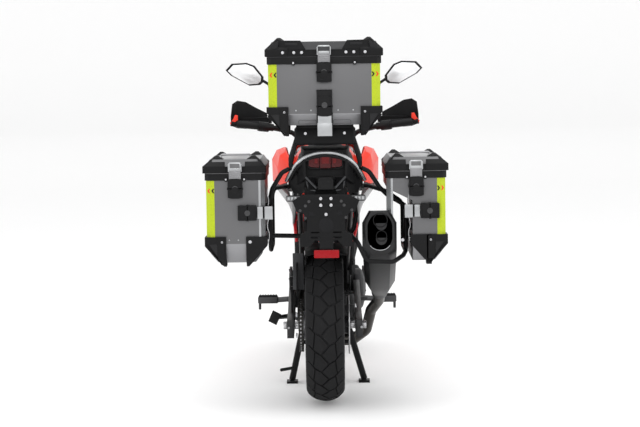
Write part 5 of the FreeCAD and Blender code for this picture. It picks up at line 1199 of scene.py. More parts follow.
    def _chevron(self, x: float, z: float, side: int) -> Blank:
        """A chevron that points outwards, on the rear wall."""
        shape = [(-6, 9), (-0.5, 9), (6, 0), (-0.5, -9), (-6, -9), (-0.5, 0)]
        spots = [(x + side * a, z + b) for a, b in shape]
        depth = self.y0 - 1.3
        mark = cut_plate(spots, Way.Y, depth, -0.4)
        if abs(x - self.edge(side)) < self.CUT:
            edge = self.edge(side) - side * self.CUT
            mark.all()
            mesh = bmesh.from_edit_mesh(mark.piece.data)
            for vert in mesh.verts:
                vert.co.y += max(0.0, side * (vert.co.x - edge * MM))
            bmesh.update_edit_mesh(mark.piece.data)
        return mark

    def _fasteners(self, shop: Shop) -> None:
        """Bolts in the skirt, the rim band and the guards, and rivets over the fold."""
        half = (self.x1 - self.x0) / 2
        wide = half > 150
        c, y = self.centre, self.y0
        skirt = (85, 115, 158) if wide else (62,)
        rim = 118 if wide else 36
        spots = [at(c + s * x, y - (12.5 if x > 150 else 6.8), self.split + 18) for s in (-1, 1)
                 for x in skirt]
        shop.claim(bolts(spots, Way.Y, -1, 7.5, True), f"{self.name}_skirt_bolts", SILVER_BOLT,
                   f"{self.name}_case_lid")
        spots = [at(c + s * rim, y - 5.4, self.split - 21) for s in (-1, 1)]
        eyes = [Blank(Form.ROD, spot + Vector((0, -0.0012, -0.001)), (0.017, 0.017, 0.0028), Way.Y, 20)
                for spot in spots]
        shop.claim(fused(eyes).soften(0.0006, 2), f"{self.name}_rim_lugs", FITTING, "case_fittings")
        spots = [spot + Vector((0, -0.0028, -0.001)) for spot in spots]
        shop.claim(bolts(spots, Way.Y, -1, 7.5), f"{self.name}_rim_bolts", SILVER_BOLT, "case_fittings")
        rivet_x = (52, 110) if wide else (18,)
        spots = [at(c + s * x - (0 if wide else 9), y, self.floor + self.fold + 15) for s in (-1, 1)
                 for x in rivet_x]
        rivets = [Blank(Form.BALL, spot, (0.0062, 0.0026, 0.0062), Way.Z, 12) for spot in spots]
        shop.claim(fused(rivets).smooth(), f"{self.name}_rivets", LATCH_PLATE, f"{self.name}_case_body")
        spots = [at(self.edge(s) - s * 60, y - 8, self.guard_top - 20) for s in (-1, 1)]
        shop.claim(bolts(spots, Way.Y, -1, 8.5, True), f"{self.name}_guard_bolts", SILVER_BOLT,
                   "case_armour")


@dataclass
class Luggage:
    """The three cases with what they share."""
    cases: tuple[Case, ...] = (Case("top", -215, 215, -400, -15, 1155, 1417, 1477, 43, 1227, (-1, 1)),
                               Case("left", -472, -241, -250, 180, 609, 965, 1021, 78, 715, (-1,), 1),
                               Case("right", 241, 472, -250, 180, 609, 965, 1021, 78, 715, (1,), -1))

    def build(self, shop: Shop) -> None:
        """Makes the cases, their armour and the latches that hold them to the racks."""
        for case in self.cases:
            case.build(shop)
        shop.refine_each(("case_fittings", FITTING, 1.2), ("case_armour", ARMOUR, 2.6))
        self._lid_corners(shop)
        self._recesses(shop)
        self._mount_latches(shop)
        self._fold_outlines(shop)
        self._handles(shop)

    def _lid_corners(self, shop: Shop) -> None:
        """The top lid's wide corner guards, each with a small recess."""
        top = self.cases[0]
        outline = [(-206, top.split + 29), (-69, top.split + 29), (-89, top.top + 4), (-163, top.top + 5),
                   (-178, top.top + 12), (-206, top.split + 40)]
        for word, shape in (("left", outline), ("right", mirrored(outline))):
            guard = cut_plate(shape, Way.Y, top.y0 + 22, -29)
            guard.points(lambda spot: spot.z > (top.split + 34) * MM
                         and spot.y < (REAR.y + (top.y0 - 3) * MM))
            guard.move(0, 0.008, 0)
            guard.soften(0.0024, 3, 25)
            shop.claim(guard, f"top_{word}_corner_guard", ARMOUR, "top_lid_armour")
            side = -1 if word == "left" else 1
            dent = slab(*sorted((side * 148, side * 101)), top.y0 - 4.2, top.y0 + 4, top.split + 46,
                        top.split + 55)
            shop.claim(dent.soften(0.001, 2), f"top_{word}_guard_inlay", ARMOUR_FACE, "top_lid_armour")
            face = cut_plate([(side * 173, top.top + 4), (side * 204, top.split + 44),
                              (side * 204, top.split + 32), (side * 177, top.split + 34)], Way.Y,
                             top.y0 - 5, -4.4)
            shop.claim(face.tidy().soften(0.001, 2), f"top_{word}_guard_facet", ARMOUR_FACE,
                       "top_lid_armour")

    def _recesses(self, shop: Shop) -> None:
        """Lighter three-cornered faces in the lower guards and the strips beside them."""
        for case in self.cases:
            peak = case.guard_top - 29
            drop = 46
            for side in case.strips:
                edge, word = case.edge(side), WORDS[side]
                shape = [(edge - side * 10, peak), (edge - side * 41, peak),
                         (edge - side * 41, peak - drop)]
                face = cut_plate(shape if side < 0 else shape[::-1], Way.Y, case.y0 - 7.4, -1.4).tidy()
                shop.claim(face.soften(0.0006, 2), f"{case.name}_{word}_guard_face", ARMOUR_FACE,
                           "case_armour")
                rib = cut_plate([(edge + side * 6, peak - 2), (edge, peak - 2),
                                 (edge - side * 58, peak - drop - 36),
                                 (edge - side * 66, peak - drop - 36)], Way.Y, case.y0 - 7.6, -2.2).tidy()
                shop.claim(rib.soften(0.0008, 2), f"{case.name}_{word}_guard_rib", ARMOUR, "case_armour")
                strip = slab(*sorted((edge - side * 44, edge - side * 70)), case.y0 - 10.4, case.y0 - 7,
                             peak - drop - 20, case.guard_top - 3)
                shop.claim(strip.soften(0.0015, 3), f"{case.name}_{word}_guard_strip", ARMOUR,
                           "case_armour")

    def _mount_latches(self, shop: Shop) -> None:
        """The latches that pull the cases on to their racks, with their hooks and tongues."""
        top, left, right = self.cases
        spots = [at(side * 75, -410, 1125) for side in (-1, 1)]
        shop.claim(bolts(spots, Way.Y, -1, 11), "rear_rack_bolts", SILVER_BOLT, "rear_rack")
        latch = Case.latch_body(0, 1228, top.y0, 58, 76)
        shop.claim(latch, "top_mount_latch", FITTING, "case_fittings")
        shop.claim(Case.lock(0, 1233, top.y0 - 21), "top_mount_lock", GREY_ALLOY, "case_fittings")
        hook = slab(-26, 26, top.y0 - 14, top.y0 - 9.5, 1163, 1196).soften(0.0012, 3)
        shop.claim(hook, "top_mount_hook", LATCH_PLATE, "rear_rack")
        tongue = slab(-28, 28, top.y0 - 13.4, top.y0 - 8, 1114, 1165).soften(0.0014, 3)
        shop.claim(tongue, "top_mount_tongue", LATCH_PLATE, "rear_rack")
        for case, side in ((left, -1), (right, 1)):
            inner = case.x1 if side < 0 else case.x0 + 100
            x = inner + side * 68.5
            body = Case.latch_body(x, 810, case.y0, 74, 60)
            shop.claim(body, f"{case.name}_mount_latch", FITTING, "case_fittings")
            shop.claim(Case.lock(x, 810, case.y0 - 21), f"{case.name}_mount_lock", GREY_ALLOY,
                       "case_fittings")
            wide = sorted((inner + side * 30, inner + side * 8))
            hook = slab(*wide, case.y0 - 13, case.y0 - 8.5, 786, 834).soften(0.0012, 3)
            shop.claim(hook, f"{case.name}_mount_hook", LATCH_PLATE, "pannier_racks")
            wide = sorted((inner + side * 1, inner - side * 31))
            plate = slab(*wide, case.y0 - 13.2, case.y0 - 8.6, 786, 835)
            lip = slab(wide[0], wide[1], case.y0 - 13.2, case.y0 - 6, 783, 786.5)
            shop.claim(plate.join(lip).soften(0.0013, 3), f"{case.name}_mount_plate", LATCH_PLATE,
                       "pannier_racks")
            wire = hose([(inner - side * 14, case.y0 - 4, 838), (inner - side * 18, case.y0 - 2, 862),
                         (inner - side * 8, case.y0 - 2, 884), (inner - side * 13, case.y0 - 2, 905)],
                        1.3)
            low = hose([(inner - side * 14, case.y0 - 4, 783), (inner - side * 6, case.y0 - 2, 752),
                        (inner - side * 20, case.y0 - 2, 724), (inner - side * 12, case.y0 - 2, 690)],
                       1.5)
            shop.claim(wire.join(low), f"{case.name}_retaining_wire", STEEL, "pannier_racks")

    def _fold_outlines(self, shop: Shop) -> None:
        """Two fine pressed outlines in the top case's lower fold, drawn as thin dark lines that paint the
        shade in the pressing.
        """
        top = self.cases[0]
        slope = 40 / 43
        runs = []
        for x0, x1 in ((-101, -33), (33, 101)):
            def spot(x: float, z: float) -> Point:
                return (x, top.y0 + (top.floor + 43 - z) * slope - 0.4, z)
            corners = [spot(x0, 1171), spot(x0 + 4, 1175), spot(x1 - 4, 1175), spot(x1, 1171),
                       spot(x1, 1160), spot(x0, 1160), spot(x0, 1171)]
            runs.append(hose(corners, 0.7, False))
        # Dark lines standing in for the shade of the pressed outlines: painted shade.
        shop.claim(fused(runs), "top_fold_outlines", GREY_ALLOY, "top_case_body")

    def _handles(self, shop: Shop) -> None:
        """Brackets at the feet of the side lids' handles."""
        for case in self.cases[1:]:
            feet = []
            for side in (-1, 1):
                x = case.centre + side * 62
                foot = slab(x - 7, x + 7, case.y0 + 81, case.y0 + 99, case.top - 1, case.top + 9)
                feet.append(foot)
                feet.append(bolt(at(x, case.y0 + 81, case.top + 4), Way.Y, -1, 7))
            shop.claim(fused(feet).soften(0.0008, 2), f"{case.name}_handle_feet", ALLOY,
                       f"{case.name}_case_lid")


# ------------------------------------------------------------------ tail

@dataclass
class Tail:
    """The tail: lamp, arch, undertray, plate bracket, reflector, indicators and grab rail."""
    lamp_face: float = -262.0
    bracket: float = -330.0

    def build(self, shop: Shop) -> None:
        """Makes the tail's visible pieces."""
        shop.refine_each(("tail_cowl", PANEL, 1.5), ("plate_bracket", FRAME_BLACK, 1.0),
                         ("indicators", RUBBER, 1.5), ("rear_rack", FRAME_BLACK, 1.6))
        self._lamp(shop)
        self._arch(shop)
        self._struts(shop)
        self._bracket_bolts(shop)
        self._indicator_lenses(shop)

    def _lamp(self, shop: Shop) -> None:
        """The three-part red lamp in its black bezel, and the reflector under the plate."""
        y = self.lamp_face
        outline = [(-69, 986), (-60, 980), (60, 980), (69, 986), (67, 1030), (60, 1034), (30, 1034),
                   (24, 1039), (-24, 1039), (-30, 1034), (-60, 1034), (-67, 1030)]
        bezel = cut_plate(outline, Way.Y, y + 18, -13)
        bezel.facing(0, -1, 0).inset(0.0035).inset(0.0006, -0.002)
        shop.claim(bezel.soften(0.0012, 2), "tail_lamp_bezel", FITTING, "rear_lamps", True)
        parts = {"left": [(-66, 992), (-58, 987), (-24, 984), (-24, 1031), (-57, 1031), (-64, 1028)],
                 "middle": [(-21, 982), (21, 982), (23, 1030), (19, 1035), (-19, 1035), (-23, 1030)],
                 "right": [(66, 992), (64, 1028), (57, 1031), (24, 1031), (24, 984), (58, 987)]}
        for word, shape in parts.items():
            lens = cut_plate(shape, Way.Y, y + 8, -7 if word != "middle" else -8).tidy()
            lens.soften(0.0022, 3)
            shop.claim(lens, f"tail_lamp_{word}", RED_LENS, "rear_lamps", True)
        glows = [slab(x0, x1, y - 0.6, y + 1.2, z0, z1).soften(0.002, 3)
                 for x0, x1, z0, z1 in ((-14, 14, 1000, 1030), (-42, -30, 1002, 1020),
                                        (30, 42, 1002, 1020))]
        shop.claim(fused(glows), "tail_lamp_cores", RED_CORE, "rear_lamps", True)
        reflector = slab(-49, 49, -328.8, -321.8, 634.5, 665.5)
        reflector.edges(lambda spot, run: abs(run.y) > 0.9).bevel(0.004, 3)
        reflector.facing(0, -1, 0).inset(0.0022).inset(0.0005, 0.001)
        shop.claim(reflector.soften(0.0008, 2), "rear_reflector", REFLECTOR, "rear_lamps", True)

    def _arch(self, shop: Shop) -> None:
        """The arch over the lamp, a bright line that is a painted highlight on the edge above the lamp,
        and the dark wings beside it.
        """
        arch = [(-156, -190, 930), (-134, -228, 974), (-118, -242, 997), (-88, -254, 1021),
                (-56, -260, 1038)]
        brow = [(-142, -205, 936), (-122, -230, 974), (-106, -242, 990), (-82, -254, 1010),
                (-52, -259, 1026)]
        # The first tube is drawn in bright metal as a painted highlight along the edge over the lamp.
        for name, finish, half, top, radius in (("seat_arch", LATCH_PLATE, arch, (0, -262, 1046), 7.5),
                                                ("lamp_brow", FITTING, brow, (0, -261, 1034), 6.5)):
            rim = half + [top] + [(-x, y, z) for x, y, z in reversed(half)]
            shop.claim(hose(rim, radius), name, finish, "tail_cowl")
        wing = [(-84, 1016), (-112, 990), (-130, 966), (-149, 934), (-128, 880), (-92, 880), (-74, 940),
                (-72, 1000)]
        for word, shape in (("left", wing), ("right", mirrored(wing))):
            panel = cut_plate(shape, Way.Y, -236, -5)
            outer = -0.1 if word == "left" else 0.1
            panel.points(lambda spot, outer=outer: spot.x / outer > 1).move(0, 0.045, 0)
            shop.claim(panel.tidy().soften(0.0015, 3), f"tail_{word}_wing", PANEL, "tail_cowl")

    def _struts(self, shop: Shop) -> None:
        """Ribs of the inner mudguard and the lamp over the number plate."""
        ribs = []
        for side in (-1, 1):
            ribs.append(hose([(side * 78, -258, 948), (side * 36, -300, 906)], 4.5, False))
            ribs.append(hose([(side * 74, -268, 930), (side * 66, -300, 898), (side * 40, -306, 897)],
                             3.2, False))
        shop.claim(fused(ribs), "mudguard_ribs", GREY_PANEL, "tail_cowl")
        lamp = slab(-30, 30, -318, -262, 902, 950)
        lamp.edges(lambda spot, run: abs(run.y) > 0.9 and spot.z > 0.92).bevel(0.012, 3)
        lamp.facing(0, -1, 0).inset(0.006).inset(0.001, -0.002)
        shop.claim(lamp.soften(0.0015, 2), "plate_lamp", FITTING, "plate_bracket")

    def _bracket_bolts(self, shop: Shop) -> None:
        """Bright bolts, small bolts and rubber pads on the plate bracket."""
        y = self.bracket - 0.5
        spots = [at(x, y, z) for x, z in ((-20, 868), (20, 868), (-20, 842), (20, 842), (0, 806))]
        shop.claim(bolts(spots, Way.Y, -1, 12.5), "plate_bolts", SILVER_BOLT, "plate_bracket")
        spots = [at(x, y, z)
                 for x, z in ((-66, 857), (-80, 840), (-101, 822), (-81, 792), (60, 857), (71, 841),
                              (101, 822), (78, 793))]
        shop.claim(bolts(spots, Way.Y, -1, 8, True), "bracket_bolts", GREY_ALLOY, "plate_bracket")
        pads = [slab(x - 9, x + 9, y - 1.2, y + 1, z - 9, z + 9).soften(0.002, 2)
                for x, z in ((-58, 809), (54, 811))]
        shop.claim(fused(pads), "bracket_pads", RUBBER, "plate_bracket")
        grommet = Blank(Form.ROD, at(0, self.bracket + 2, 764), (0.058, 0.058, 0.006), Way.Y,
                        40).soften(0.0008, 2)
        shop.claim(grommet, "bracket_grommet", RUBBER, "plate_bracket")
        floor = slab(-84, 84, -262, -256, 862, 902).soften(0.001, 2)
        shop.claim(floor, "mudguard_floor", PANEL, "tail_cowl")

    def _indicator_lenses(self, shop: Shop) -> None:
        """Pale lenses with four bright cells on the indicator stalks."""
        for word, side in SIDES:
            lens = slab(*sorted((side * 93, side * 155)), -315, -309, 858.5, 876.5)
            lens.edges(lambda spot, run: abs(run.y) > 0.9).bevel(0.006, 4)
            shop.claim(lens.soften(0.0016, 3), f"{word}_indicator_lens", GREY_LENS, "indicators")
            cells = slab(*sorted((side * 100, side * 109)), -316, -314, 862, 873)
            shop.claim(cells.row(4, (side * 0.0135, 0, 0)).soften(0.0006, 2), f"{word}_indicator_cells",
                       LATCH_PLATE, "indicators")


# ------------------------------------------------------------------ engine and exhaust

@dataclass
class Power:
    """The engine with its radiator, the headers and the silencer."""

    def build(self, shop: Shop) -> None:
        """Finishes the castings and makes the small parts on them."""
        shop.refine_each(("engine", ENGINE, 2.0), ("airbox", PANEL, 3.0))
        shop.refine("exhaust_headers", HEADER, 0.0, smooth=50)
        shop.refine_each(("radiator", FRAME_BLACK, 1.0), ("silencer", SILENCER, 2.0))
        self._covers(shop)
        self._fins(shop)
        self._outlets(shop)

    def _covers(self, shop: Shop) -> None:
        """The crankcase covers and the bolts round them."""
        low, high = corners_of("engine")
        centre = (low + high) / 2
        for word, face, out in (("left", low.x, -1), ("right", high.x, 1)):
            spots = []
            for k in range(7):
                a = math.tau * k / 7
                spots.append(Vector((face - out * 0.001, centre.y - 0.01 + math.cos(a) * 0.066,
                                     REAR.z + 0.08 + math.sin(a) * 0.066)))
            cover = Blank(Form.ROD, Vector((face - out * 0.004, centre.y - 0.01, REAR.z + 0.08)),
                          (0.156, 0.156, 0.012), Way.X, 48)
            cover.facing(out, 0, 0).inset(0.024, 0.0).inset(0.004, 0.003).inset(0.02, 0.0).inset(0.002,
                                                                                                 -0.002)
            shop.claim(cover.soften(0.002, 3), f"{word}_crank_cover", COVER, "engine")
            shop.claim(bolts([spot + Vector((out * 0.003, 0, 0)) for spot in spots], Way.X, out, 8),
                       f"{word}_cover_bolts", BOLT, "engine")

    def _fins(self, shop: Shop) -> None:
        """The radiator's core: rows of flat tubes."""
        low, high = corners_of("radiator")
        wide, tall = high.x - low.x, high.z - low.z
        row = Blank(Form.BLOCK, Vector(((low.x + high.x) / 2, high.y - 0.0015, low.z + tall * 0.1)),
                    (wide * 0.8, 0.003, 0.002))
        row.row(22, (0, 0, tall * 0.8 / 22))
        shop.claim(row, "radiator_core", ALLOY, "radiator")

    def _outlets(self, shop: Shop) -> None:
        """The silencer's end cap with two outlets one over the other, and a bright line under it that is
        a painted reflection of the pale floor on the cap's lower edge.
        """
        low, _ = corners_of("silencer")
        y = low.y / MM - REAR.y / MM
        outline = [(180, 652), (240, 652), (268, 690), (268, 768), (244, 806), (180, 806), (154, 768),
                   (154, 690)]
        cap = cut_plate(outline, Way.Y, y - 1, 3)
        cap.edges(lambda spot, run: abs(run.y) > 0.9).bevel(0.016, 4)
        cap.facing(0, -1, 0).inset(0.006).inset(0.002, -0.001)
        shop.claim(cap.soften(0.001, 2), "silencer_cap", SILENCER, "silencer")
        rings = []
        for x, z, radius in ((213, 776, 0.029), (217, 714, 0.022)):
            ring = Blank(Form.ROD, at(x, y + 1, z), (2 * radius, 2 * radius, 0.009), Way.Y, 40)
            ring.facing(0, -1, 0).inset(0.003).inset(0.0006, -0.006)
            rings.append(ring)
        shop.claim(fused(rings).soften(0.0006, 2), "silencer_outlets", FITTING, "silencer")
        # Bright line along the cap's lower edge: painted reflection of the pale floor.
        rim = hose([(172, y - 2, 676), (184, y - 3, 662), (212, y - 3, 656), (238, y - 3, 662),
                    (250, y - 2, 676)], 1.6)
        shop.claim(rim, "silencer_rim", LATCH_PLATE, "silencer")


# ------------------------------------------------------------------ frame and suspension

@dataclass
class Chassis:
    """The frame, swingarm, shock, stands, pegs and racks."""
    RED_FROM = 0.69
    RED_TO = 0.83
    COIL_TURNS = 6.5
    COIL_STEPS = 130
    COIL_RADIUS = 0.031
    COIL_FROM = 0.26
    COIL_SPAN = 0.56

    def build(self, shop: Shop) -> None:
        """Finishes each and adds springs, rubbers and bolts."""
        frame_piece = shop.refine("main_frame", RED_FRAME, 1.2)
        frame_piece.data.materials.append(FRAME_BLACK.material())
        for face in frame_piece.data.polygons:
            if not self.RED_FROM <= face.center.z <= self.RED_TO:
                face.material_index = 1
        shop.refine_each(("subframe", FRAME_BLACK, 0.8), ("swingarm", COVER, 2.0),
                         ("centre_stand", FRAME_BLACK, 1.2), ("side_stand", FRAME_BLACK, 1.2),
                         ("pannier_racks", FRAME_BLACK, 1.0), ("footrests", GREY_ALLOY, 1.0),
                         ("rear_axle", STEEL, 0.8), ("front_axle", STEEL, 0.8),
                         ("rear_shock", GREY_ALLOY, 0.8))
        self._spring(shop)
        self._rails(shop)
        self._pegs(shop)
        self._clamps(shop)

    def _rails(self, shop: Shop) -> None:
        """The frame's bowed red side rails beside the tail, and the chain guard's flat rear face."""
        left = hose([(-108, 470, 768), (-124, 455, 738), (-136, 450, 710), (-134, 450, 670),
                     (-129, 452, 626)], 7.5)
        right = hose([(108, 470, 768), (124, 455, 736), (133, 450, 706), (128, 450, 668),
                      (114, 452, 626)], 7.5)
        shop.claim(left.join(right), "frame_side_rails", RED_FRAME, "main_frame")
        face = slab(-138, -94, -62, -58, 478, 628).soften(0.0015, 3)
        shop.claim(face, "chain_guard_face", GREY_PANEL, "chain_guard")

    def _spring(self, shop: Shop) -> None:
        """The coil round the shock."""
        top, foot = at(0, 500, 686), at(0, 480, 450)
        run = top - foot
        points = []
        side = Vector((1, 0, 0))
        front = run.normalized().cross(side)
        for step in range(self.COIL_STEPS + 1):
            share = step / self.COIL_STEPS
            angle = math.tau * self.COIL_TURNS * share
            points.append(tuple(foot + run * (self.COIL_FROM + share * self.COIL_SPAN)
                                + (side * math.cos(angle) + front * math.sin(angle)) * self.COIL_RADIUS))
        shop.claim(tube(points, 0.0052, False), "shock_spring", RED_FRAME, "rear_shock")

    def _pegs(self, shop: Shop) -> None:
        """Rubber treads on the footrests."""
        treads = []
        for side in (-1, 1):
            x0, x1 = sorted((side * 222, side * 304))
            tread = slab(x0, x1, 600, 640, 361, 370)
            tread.facing(0, 0, 1).inset(0.003, 0.001)
            tread.join(slab(x0 + 4, x0 + 8, 602, 638, 367, 373).row(7, (0.0117, 0, 0)))
            treads.append(tread)
        shop.claim(fused(treads).soften(0.001, 2), "footrest_rubbers", RUBBER, "footrests")

    def _clamps(self, shop: Shop) -> None:
        """The axle's adjusters and nuts."""
        plates = []
        for side, x in ((-1, -158), (1, 138)):
            plate = slab(*sorted((x, x + side * 5)), -26, 26, 306, 342)
            plate.edges(lambda spot, run: abs(run.x) > 0.9).bevel(0.006, 3)
            plates.append(plate)
            plates.append(bolt(at(x + side * 5, 0, 324), Way.X, side, 27, True))
            plates.append(bolt(at(x, -72, 324), Way.Y, -1, 10))
        shop.claim(fused(plates).soften(0.0008, 2), "axle_adjusters", ALLOY, "rear_axle")


# ------------------------------------------------------------------ front end

@dataclass
class FrontEnd:
    """The fork, fender, cowl, headlamp, screen and the cockpit."""

    def build(self, shop: Shop) -> None:
        """Finishes the front and makes the controls."""
        shop.refine_each(("fork_legs", ALLOY, 0.8), ("fork_yokes", GREY_ALLOY, 2.0),
                         ("front_fender", RED_PAINT, 1.5), ("front_cowl", RED_PAINT, 2.0),
                         ("headlamp", SMOKE, 1.6), ("windscreen", CLEAR, 0.0), ("handguards", PANEL, 2.5),
                         ("handlebar", FRAME_BLACK, 0.6), ("handlebar_controls", FITTING, 1.5),
                         ("mirrors", FITTING, 1.6))
        self._lamps(shop)
        self._grips(shop)
        self._tips(shop)
        self._housings(shop)
        self._mirror_glass(shop)
        self._dash(shop)
        self._fork_gaiters(shop)

    def _lamps(self, shop: Shop) -> None:
        """Two clear lenses in the headlamp's face."""
        low, high = corners_of("headlamp")
        y = high.y - 0.006
        parts = []
        for side in (-1, 1):
            parts.append(Blank(Form.ROD, Vector((side * 0.04, y, (low.z + high.z) / 2)),
                               (0.052, 0.052, 0.014), Way.Y, 36).soften(0.003, 3))
        shop.claim(fused(parts), "headlamp_lenses", LENS, "headlamp")

    def _grips(self, shop: Shop) -> None:
        """Ribbed rubber grips and levers on both ends of the bar."""
        for word, side in SIDES:
            inner, outer = at(side * 300, 1006, 1118), at(side * 411, 986, 1124)
            turn = (outer - inner).to_track_quat("Z", "Y").to_euler()
            grip = Blank(Form.ROD, (inner + outer) / 2, (0.034, 0.034, (outer - inner).length), turn, 24)
            ribs = []
            for k in range(9):
                spot = inner.lerp(outer, 0.08 + 0.84 * k / 8)
                ribs.append(Blank(Form.ROD, spot, (0.0364, 0.0364, 0.005), turn, 24))
            shop.claim(grip.join(*ribs).soften(0.0008, 2), f"{word}_grip", RUBBER, "handlebar_controls")
            lever = hose([(side * 262, 1050, 1112), (side * 300, 1062, 1110), (side * 350, 1054, 1110),
                          (side * 400, 1044, 1108)], 5.0)
            shop.claim(lever, f"{word}_lever", ALLOY, "handlebar_controls")

    def _housings(self, shop: Shop) -> None:
        """The lower lobes of the handguards beside the grips."""
        for word, side in SIDES:
            shape = [(side * x, z)
                     for x, z in ((268, 1152), (384, 1150), (396, 1136), (390, 1112), (376, 1102),
                                  (268, 1100), (258, 1112), (258, 1142))]
            lobe = cut_plate(shape, Way.Y, 1062, 16).tidy()
            lobe.facing(0, -1, 0).inset(0.006).inset(0.001, -0.002)
            shop.claim(lobe.soften(0.003, 3), f"{word}_guard_lobe", PANEL, "handguards")

    def _tips(self, shop: Shop) -> None:
        """Red clips at the outer ends of the handguards."""
        clip = [(401, 1166), (414, 1167), (423, 1147), (438, 1131), (434, 1120), (420, 1121), (410, 1137),
                (400, 1144)]
        for word, side in SIDES:
            tip = cut_plate([(side * x, z) for x, z in clip], Way.Y, 962, 7).tidy()
            shop.claim(tip.soften(0.0018, 3), f"{word}_guard_clip", RED_PAINT, "handguards")

    def _mirror_glass(self, shop: Shop) -> None:
        """The mirrors' glass, facing the rider, with a near-white finish that paints in the reflection of
        the pale studio.
        """
        for word, side in SIDES:
            shape = [(side * (370 + (a - 370) * 0.89), 1349 + (b - 1349) * 0.89)
                     for a, b in ((455, 1372), (427, 1402), (359, 1405), (323, 1391), (283, 1340),
                                  (285, 1316), (299, 1304), (347, 1301), (431, 1348))]
            glass = cut_plate(shape, Way.Y, 1019.6, 3).tidy()
            shop.claim(glass.soften(0.0006, 2), f"{word}_mirror_glass", MIRROR_PAINTED_REFLECTION, "mirrors")

    def _dash(self, shop: Shop) -> None:
        """The display and the control lines, which turn with the bar."""
        board = slab(-74, 74, 1104, 1122, 1062, 1132)
        board.facing(0, -1, 0).inset(0.006).inset(0.001, -0.002)
        shop.claim(board.soften(0.003, 3), "display_housing", FITTING, "handlebar")
        glass = slab(-66, 66, 1102.5, 1106, 1069, 1125).soften(0.001, 2)
        shop.claim(glass, "display_glass", DISPLAY, "handlebar")
        lines = []
        for side in (-1, 1):
            for far, drop in ((0, 0), (9, 12)):
                route = [(side * (255 - far), 1058 - far, 1106 - drop),
                         (side * (180 - far), 1070 - far, 1092 - drop),
                         (side * (100 - far), 1070 - far, 1052 - drop),
                         (side * (58 - far), 1058 - far, 1018 - drop)]
                lines.append(hose(route, 3.4))
        shop.claim(fused(lines), "control_lines", RUBBER, "handlebar")

    def _fork_gaiters(self, shop: Shop) -> None:
        """Seal collars where the fork's tubes enter its legs."""
        rings = []
        steer = (at(0, 1445, 329) - at(0, 1084.5, 900)).normalized()
        for side in (-1, 1):
            spot = Vector((side * 0.104, 0, 0)) + at(0, 1180, 750)
            rings.append(Blank(Form.ROD, spot, (0.058, 0.058, 0.02),
                               steer.to_track_quat("Z", "Y").to_euler(), 32))
        shop.claim(fused(rings).soften(0.002, 2), "fork_seals", RUBBER, "fork_legs")


# ------------------------------------------------------------------ bodywork

@dataclass
class Bodywork:
    """Tank, shrouds, cowls, side covers and the seat."""
    VOXEL = 0.006
    PUFF = 0.006
    PRESSURE = 4.0
    CLOTH_FRAMES = 20

    def build(self, shop: Shop) -> None:
        """Finishes the painted panels and makes the seat's cover."""
        shop.refine("fuel_tank", RED_PAINT, 4.0, 25)
        shop.refine_each(("tank_shrouds", RED_PAINT, 3.0), ("lower_cowls", COWL_SILVER, 2.0),
                         ("side_covers", GREY_PANEL, 2.0))
        self._cap(shop)
        self._seat(shop)

    def _cap(self, shop: Shop) -> None:
        """The fuel filler cap."""
        low, high = corners_of("fuel_tank")
        cap = Blank(Form.ROD, Vector((0, (low.y + high.y) / 2 + 0.05, high.z - 0.002)),
                    (0.09, 0.09, 0.012), Way.Z, 48)
        cap.facing(0, 0, 1).inset(0.014, 0.0).inset(0.002, -0.003)
        shop.claim(cap.soften(0.0015, 3), "filler_cap", GREY_ALLOY, "fuel_tank")

    def _seat(self, shop: Shop) -> None:
        """The padded seat: the frame's seat, puffed by a short cloth run."""
        source = shop.nodes["seat"]
        piece = bpy.data.objects.new("seat_cover", source.data.copy())
        bpy.context.collection.objects.link(piece)
        blank = Blank.of(piece).all()
        bpy.ops.mesh.remove_doubles(threshold=0.00005)
        blank.modify("REMESH", mode="VOXEL", voxel_size=self.VOXEL)
        blank.modify("SMOOTH", factor=0.6, iterations=6)
        rest = [vert.co.copy() for vert in piece.data.vertices]
        activate(piece)
        bpy.ops.object.modifier_add(type="CLOTH")
        cloth = piece.modifiers[-1]
        cloth.settings.use_pressure = True
        cloth.settings.uniform_pressure_force = self.PRESSURE
        cloth.settings.effector_weights.gravity = 0
        cloth.settings.quality = 5
        scene = bpy.context.scene
        for step in range(1, self.CLOTH_FRAMES + 1):
            scene.frame_set(step)
        bpy.ops.object.modifier_apply(modifier=cloth.name)
        scene.frame_set(1)
        for vert, spot in zip(piece.data.vertices, rest):
            move = vert.co - spot
            if move.length > self.PUFF:
                vert.co = spot + move.normalized() * self.PUFF
        blank.modify("SUBSURF", levels=1)
        blank.smooth(60)
        shop.claim(blank, "seat_cover", VINYL, "seat", True)


# ------------------------------------------------------------------ studio

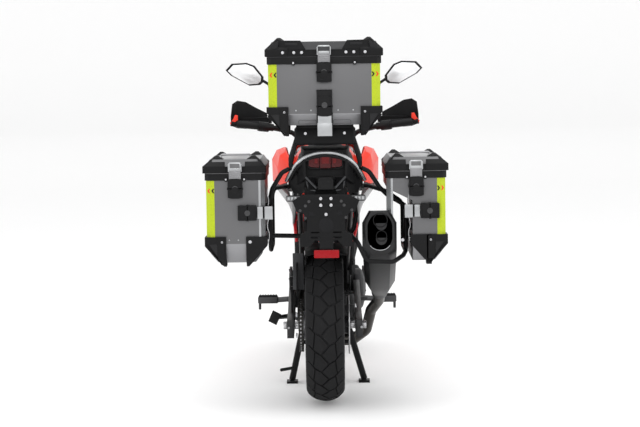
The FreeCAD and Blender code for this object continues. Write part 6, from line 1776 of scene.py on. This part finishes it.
@dataclass
class Studio:
    """A pale floor, soft lamps and the camera behind the machine."""
    floor_tone: float = 0.97
    camera_place: Point = (0, -7.8745, 1.362)
    camera_tilt: float = 85.4
    camera_roll: float = -0.8
    camera_lens: float = 99.4
    camera_shift: float = -0.0094

    def build(self) -> None:
        """Makes the floor, the light and the camera."""
        bpy.context.scene.view_settings.view_transform = "Standard"
        self._floor()
        self._lights()
        self._camera()

    def _floor(self) -> None:
        """A plain sweep that carries on up behind the machine."""
        floor = Blank(Form.CARD, (0, 0, 0), (24, 24, 1))
        floor.edges(lambda spot, run: spot.y > 11.9 and abs(run.x) > 0.9)
        floor.extrude(0, 3, 0.6).extrude(0, 2, 3).extrude(0, 0.5, 9)
        floor.smooth(80)
        floor.piece.name = "studio_floor"
        graph = Graph("studio paper")
        tone = graph.draw(Pattern(3))
        light, dim = ((shade, shade, shade, 1) for shade in (self.floor_tone, self.floor_tone * 0.99))
        graph.set(Base_Color=graph.blend(tone, light, dim), Roughness=0.7)
        floor.piece.data.materials.append(graph.material)

    def _lamp(self, name: str, spot: Point, aim: Point, size: float, power: float) -> None:
        """One soft square lamp."""
        clear_selection()
        turn = (Vector(aim) - Vector(spot)).to_track_quat("-Z", "Y").to_euler()
        bpy.ops.object.light_add(type="AREA", location=spot, rotation=turn)
        lamp = bpy.context.object
        lamp.name = name
        lamp.data.shape = "SQUARE"
        lamp.data.size = size
        lamp.data.energy = power

    def _lights(self) -> None:
        """A broad lamp above, two at the sides and one behind the camera."""
        self._lamp("lamp_above", (0, -0.6, 4.6), (0, 0, 0.5), 4.5, 80)
        self._lamp("lamp_left", (-4.6, -3.4, 2.4), (0, -0.4, 0.8), 2.6, 45)
        self._lamp("lamp_right", (4.6, -3.4, 2.4), (0, -0.4, 0.8), 2.6, 45)
        self._lamp("lamp_rear", (0, -7.5, 3.6), (0, -0.5, 0.8), 2.4, 40)
        world = bpy.data.worlds.new("studio")
        bpy.context.scene.world = world
        world.use_nodes = True
        background = world.node_tree.nodes["Background"]
        background.inputs["Color"].default_value = (1, 1, 1, 1)
        background.inputs["Strength"].default_value = 1.0

    def _camera(self) -> None:
        """The camera, level with the lid of the top case and a little rolled."""
        clear_selection()
        bpy.ops.object.camera_add(location=self.camera_place)
        camera = bpy.context.object
        camera.name = "rear_camera"
        tilt = Matrix.Rotation(math.radians(self.camera_tilt), 3, "X")
        aim = tilt @ Matrix.Rotation(math.radians(self.camera_roll), 3, "Z")
        camera.rotation_euler = aim.to_euler()
        camera.data.lens = self.camera_lens
        camera.data.sensor_width = 36
        camera.data.shift_x = self.camera_shift
        camera.data.clip_end = 60
        bpy.context.scene.camera = camera


# ------------------------------------------------------------------ the machine

def main() -> None:
    """Builds the studio and the machine, and logs each part as it is finished."""
    shop = Shop(frame)
    Studio().build()
    wheels = (Wheel("rear", REAR, 312, 157, 95, 218), Wheel("front", FRONT, 329, 112, 62, 243))
    parts = [*wheels, Drive(), Brakes(), Luggage(), Tail(), Power(), Chassis(), FrontEnd(), Bodywork()]
    for part in parts:
        part.build(shop)
        LOG.info("finished %s", type(part).__name__)


if __name__ == "__main__":
    main()
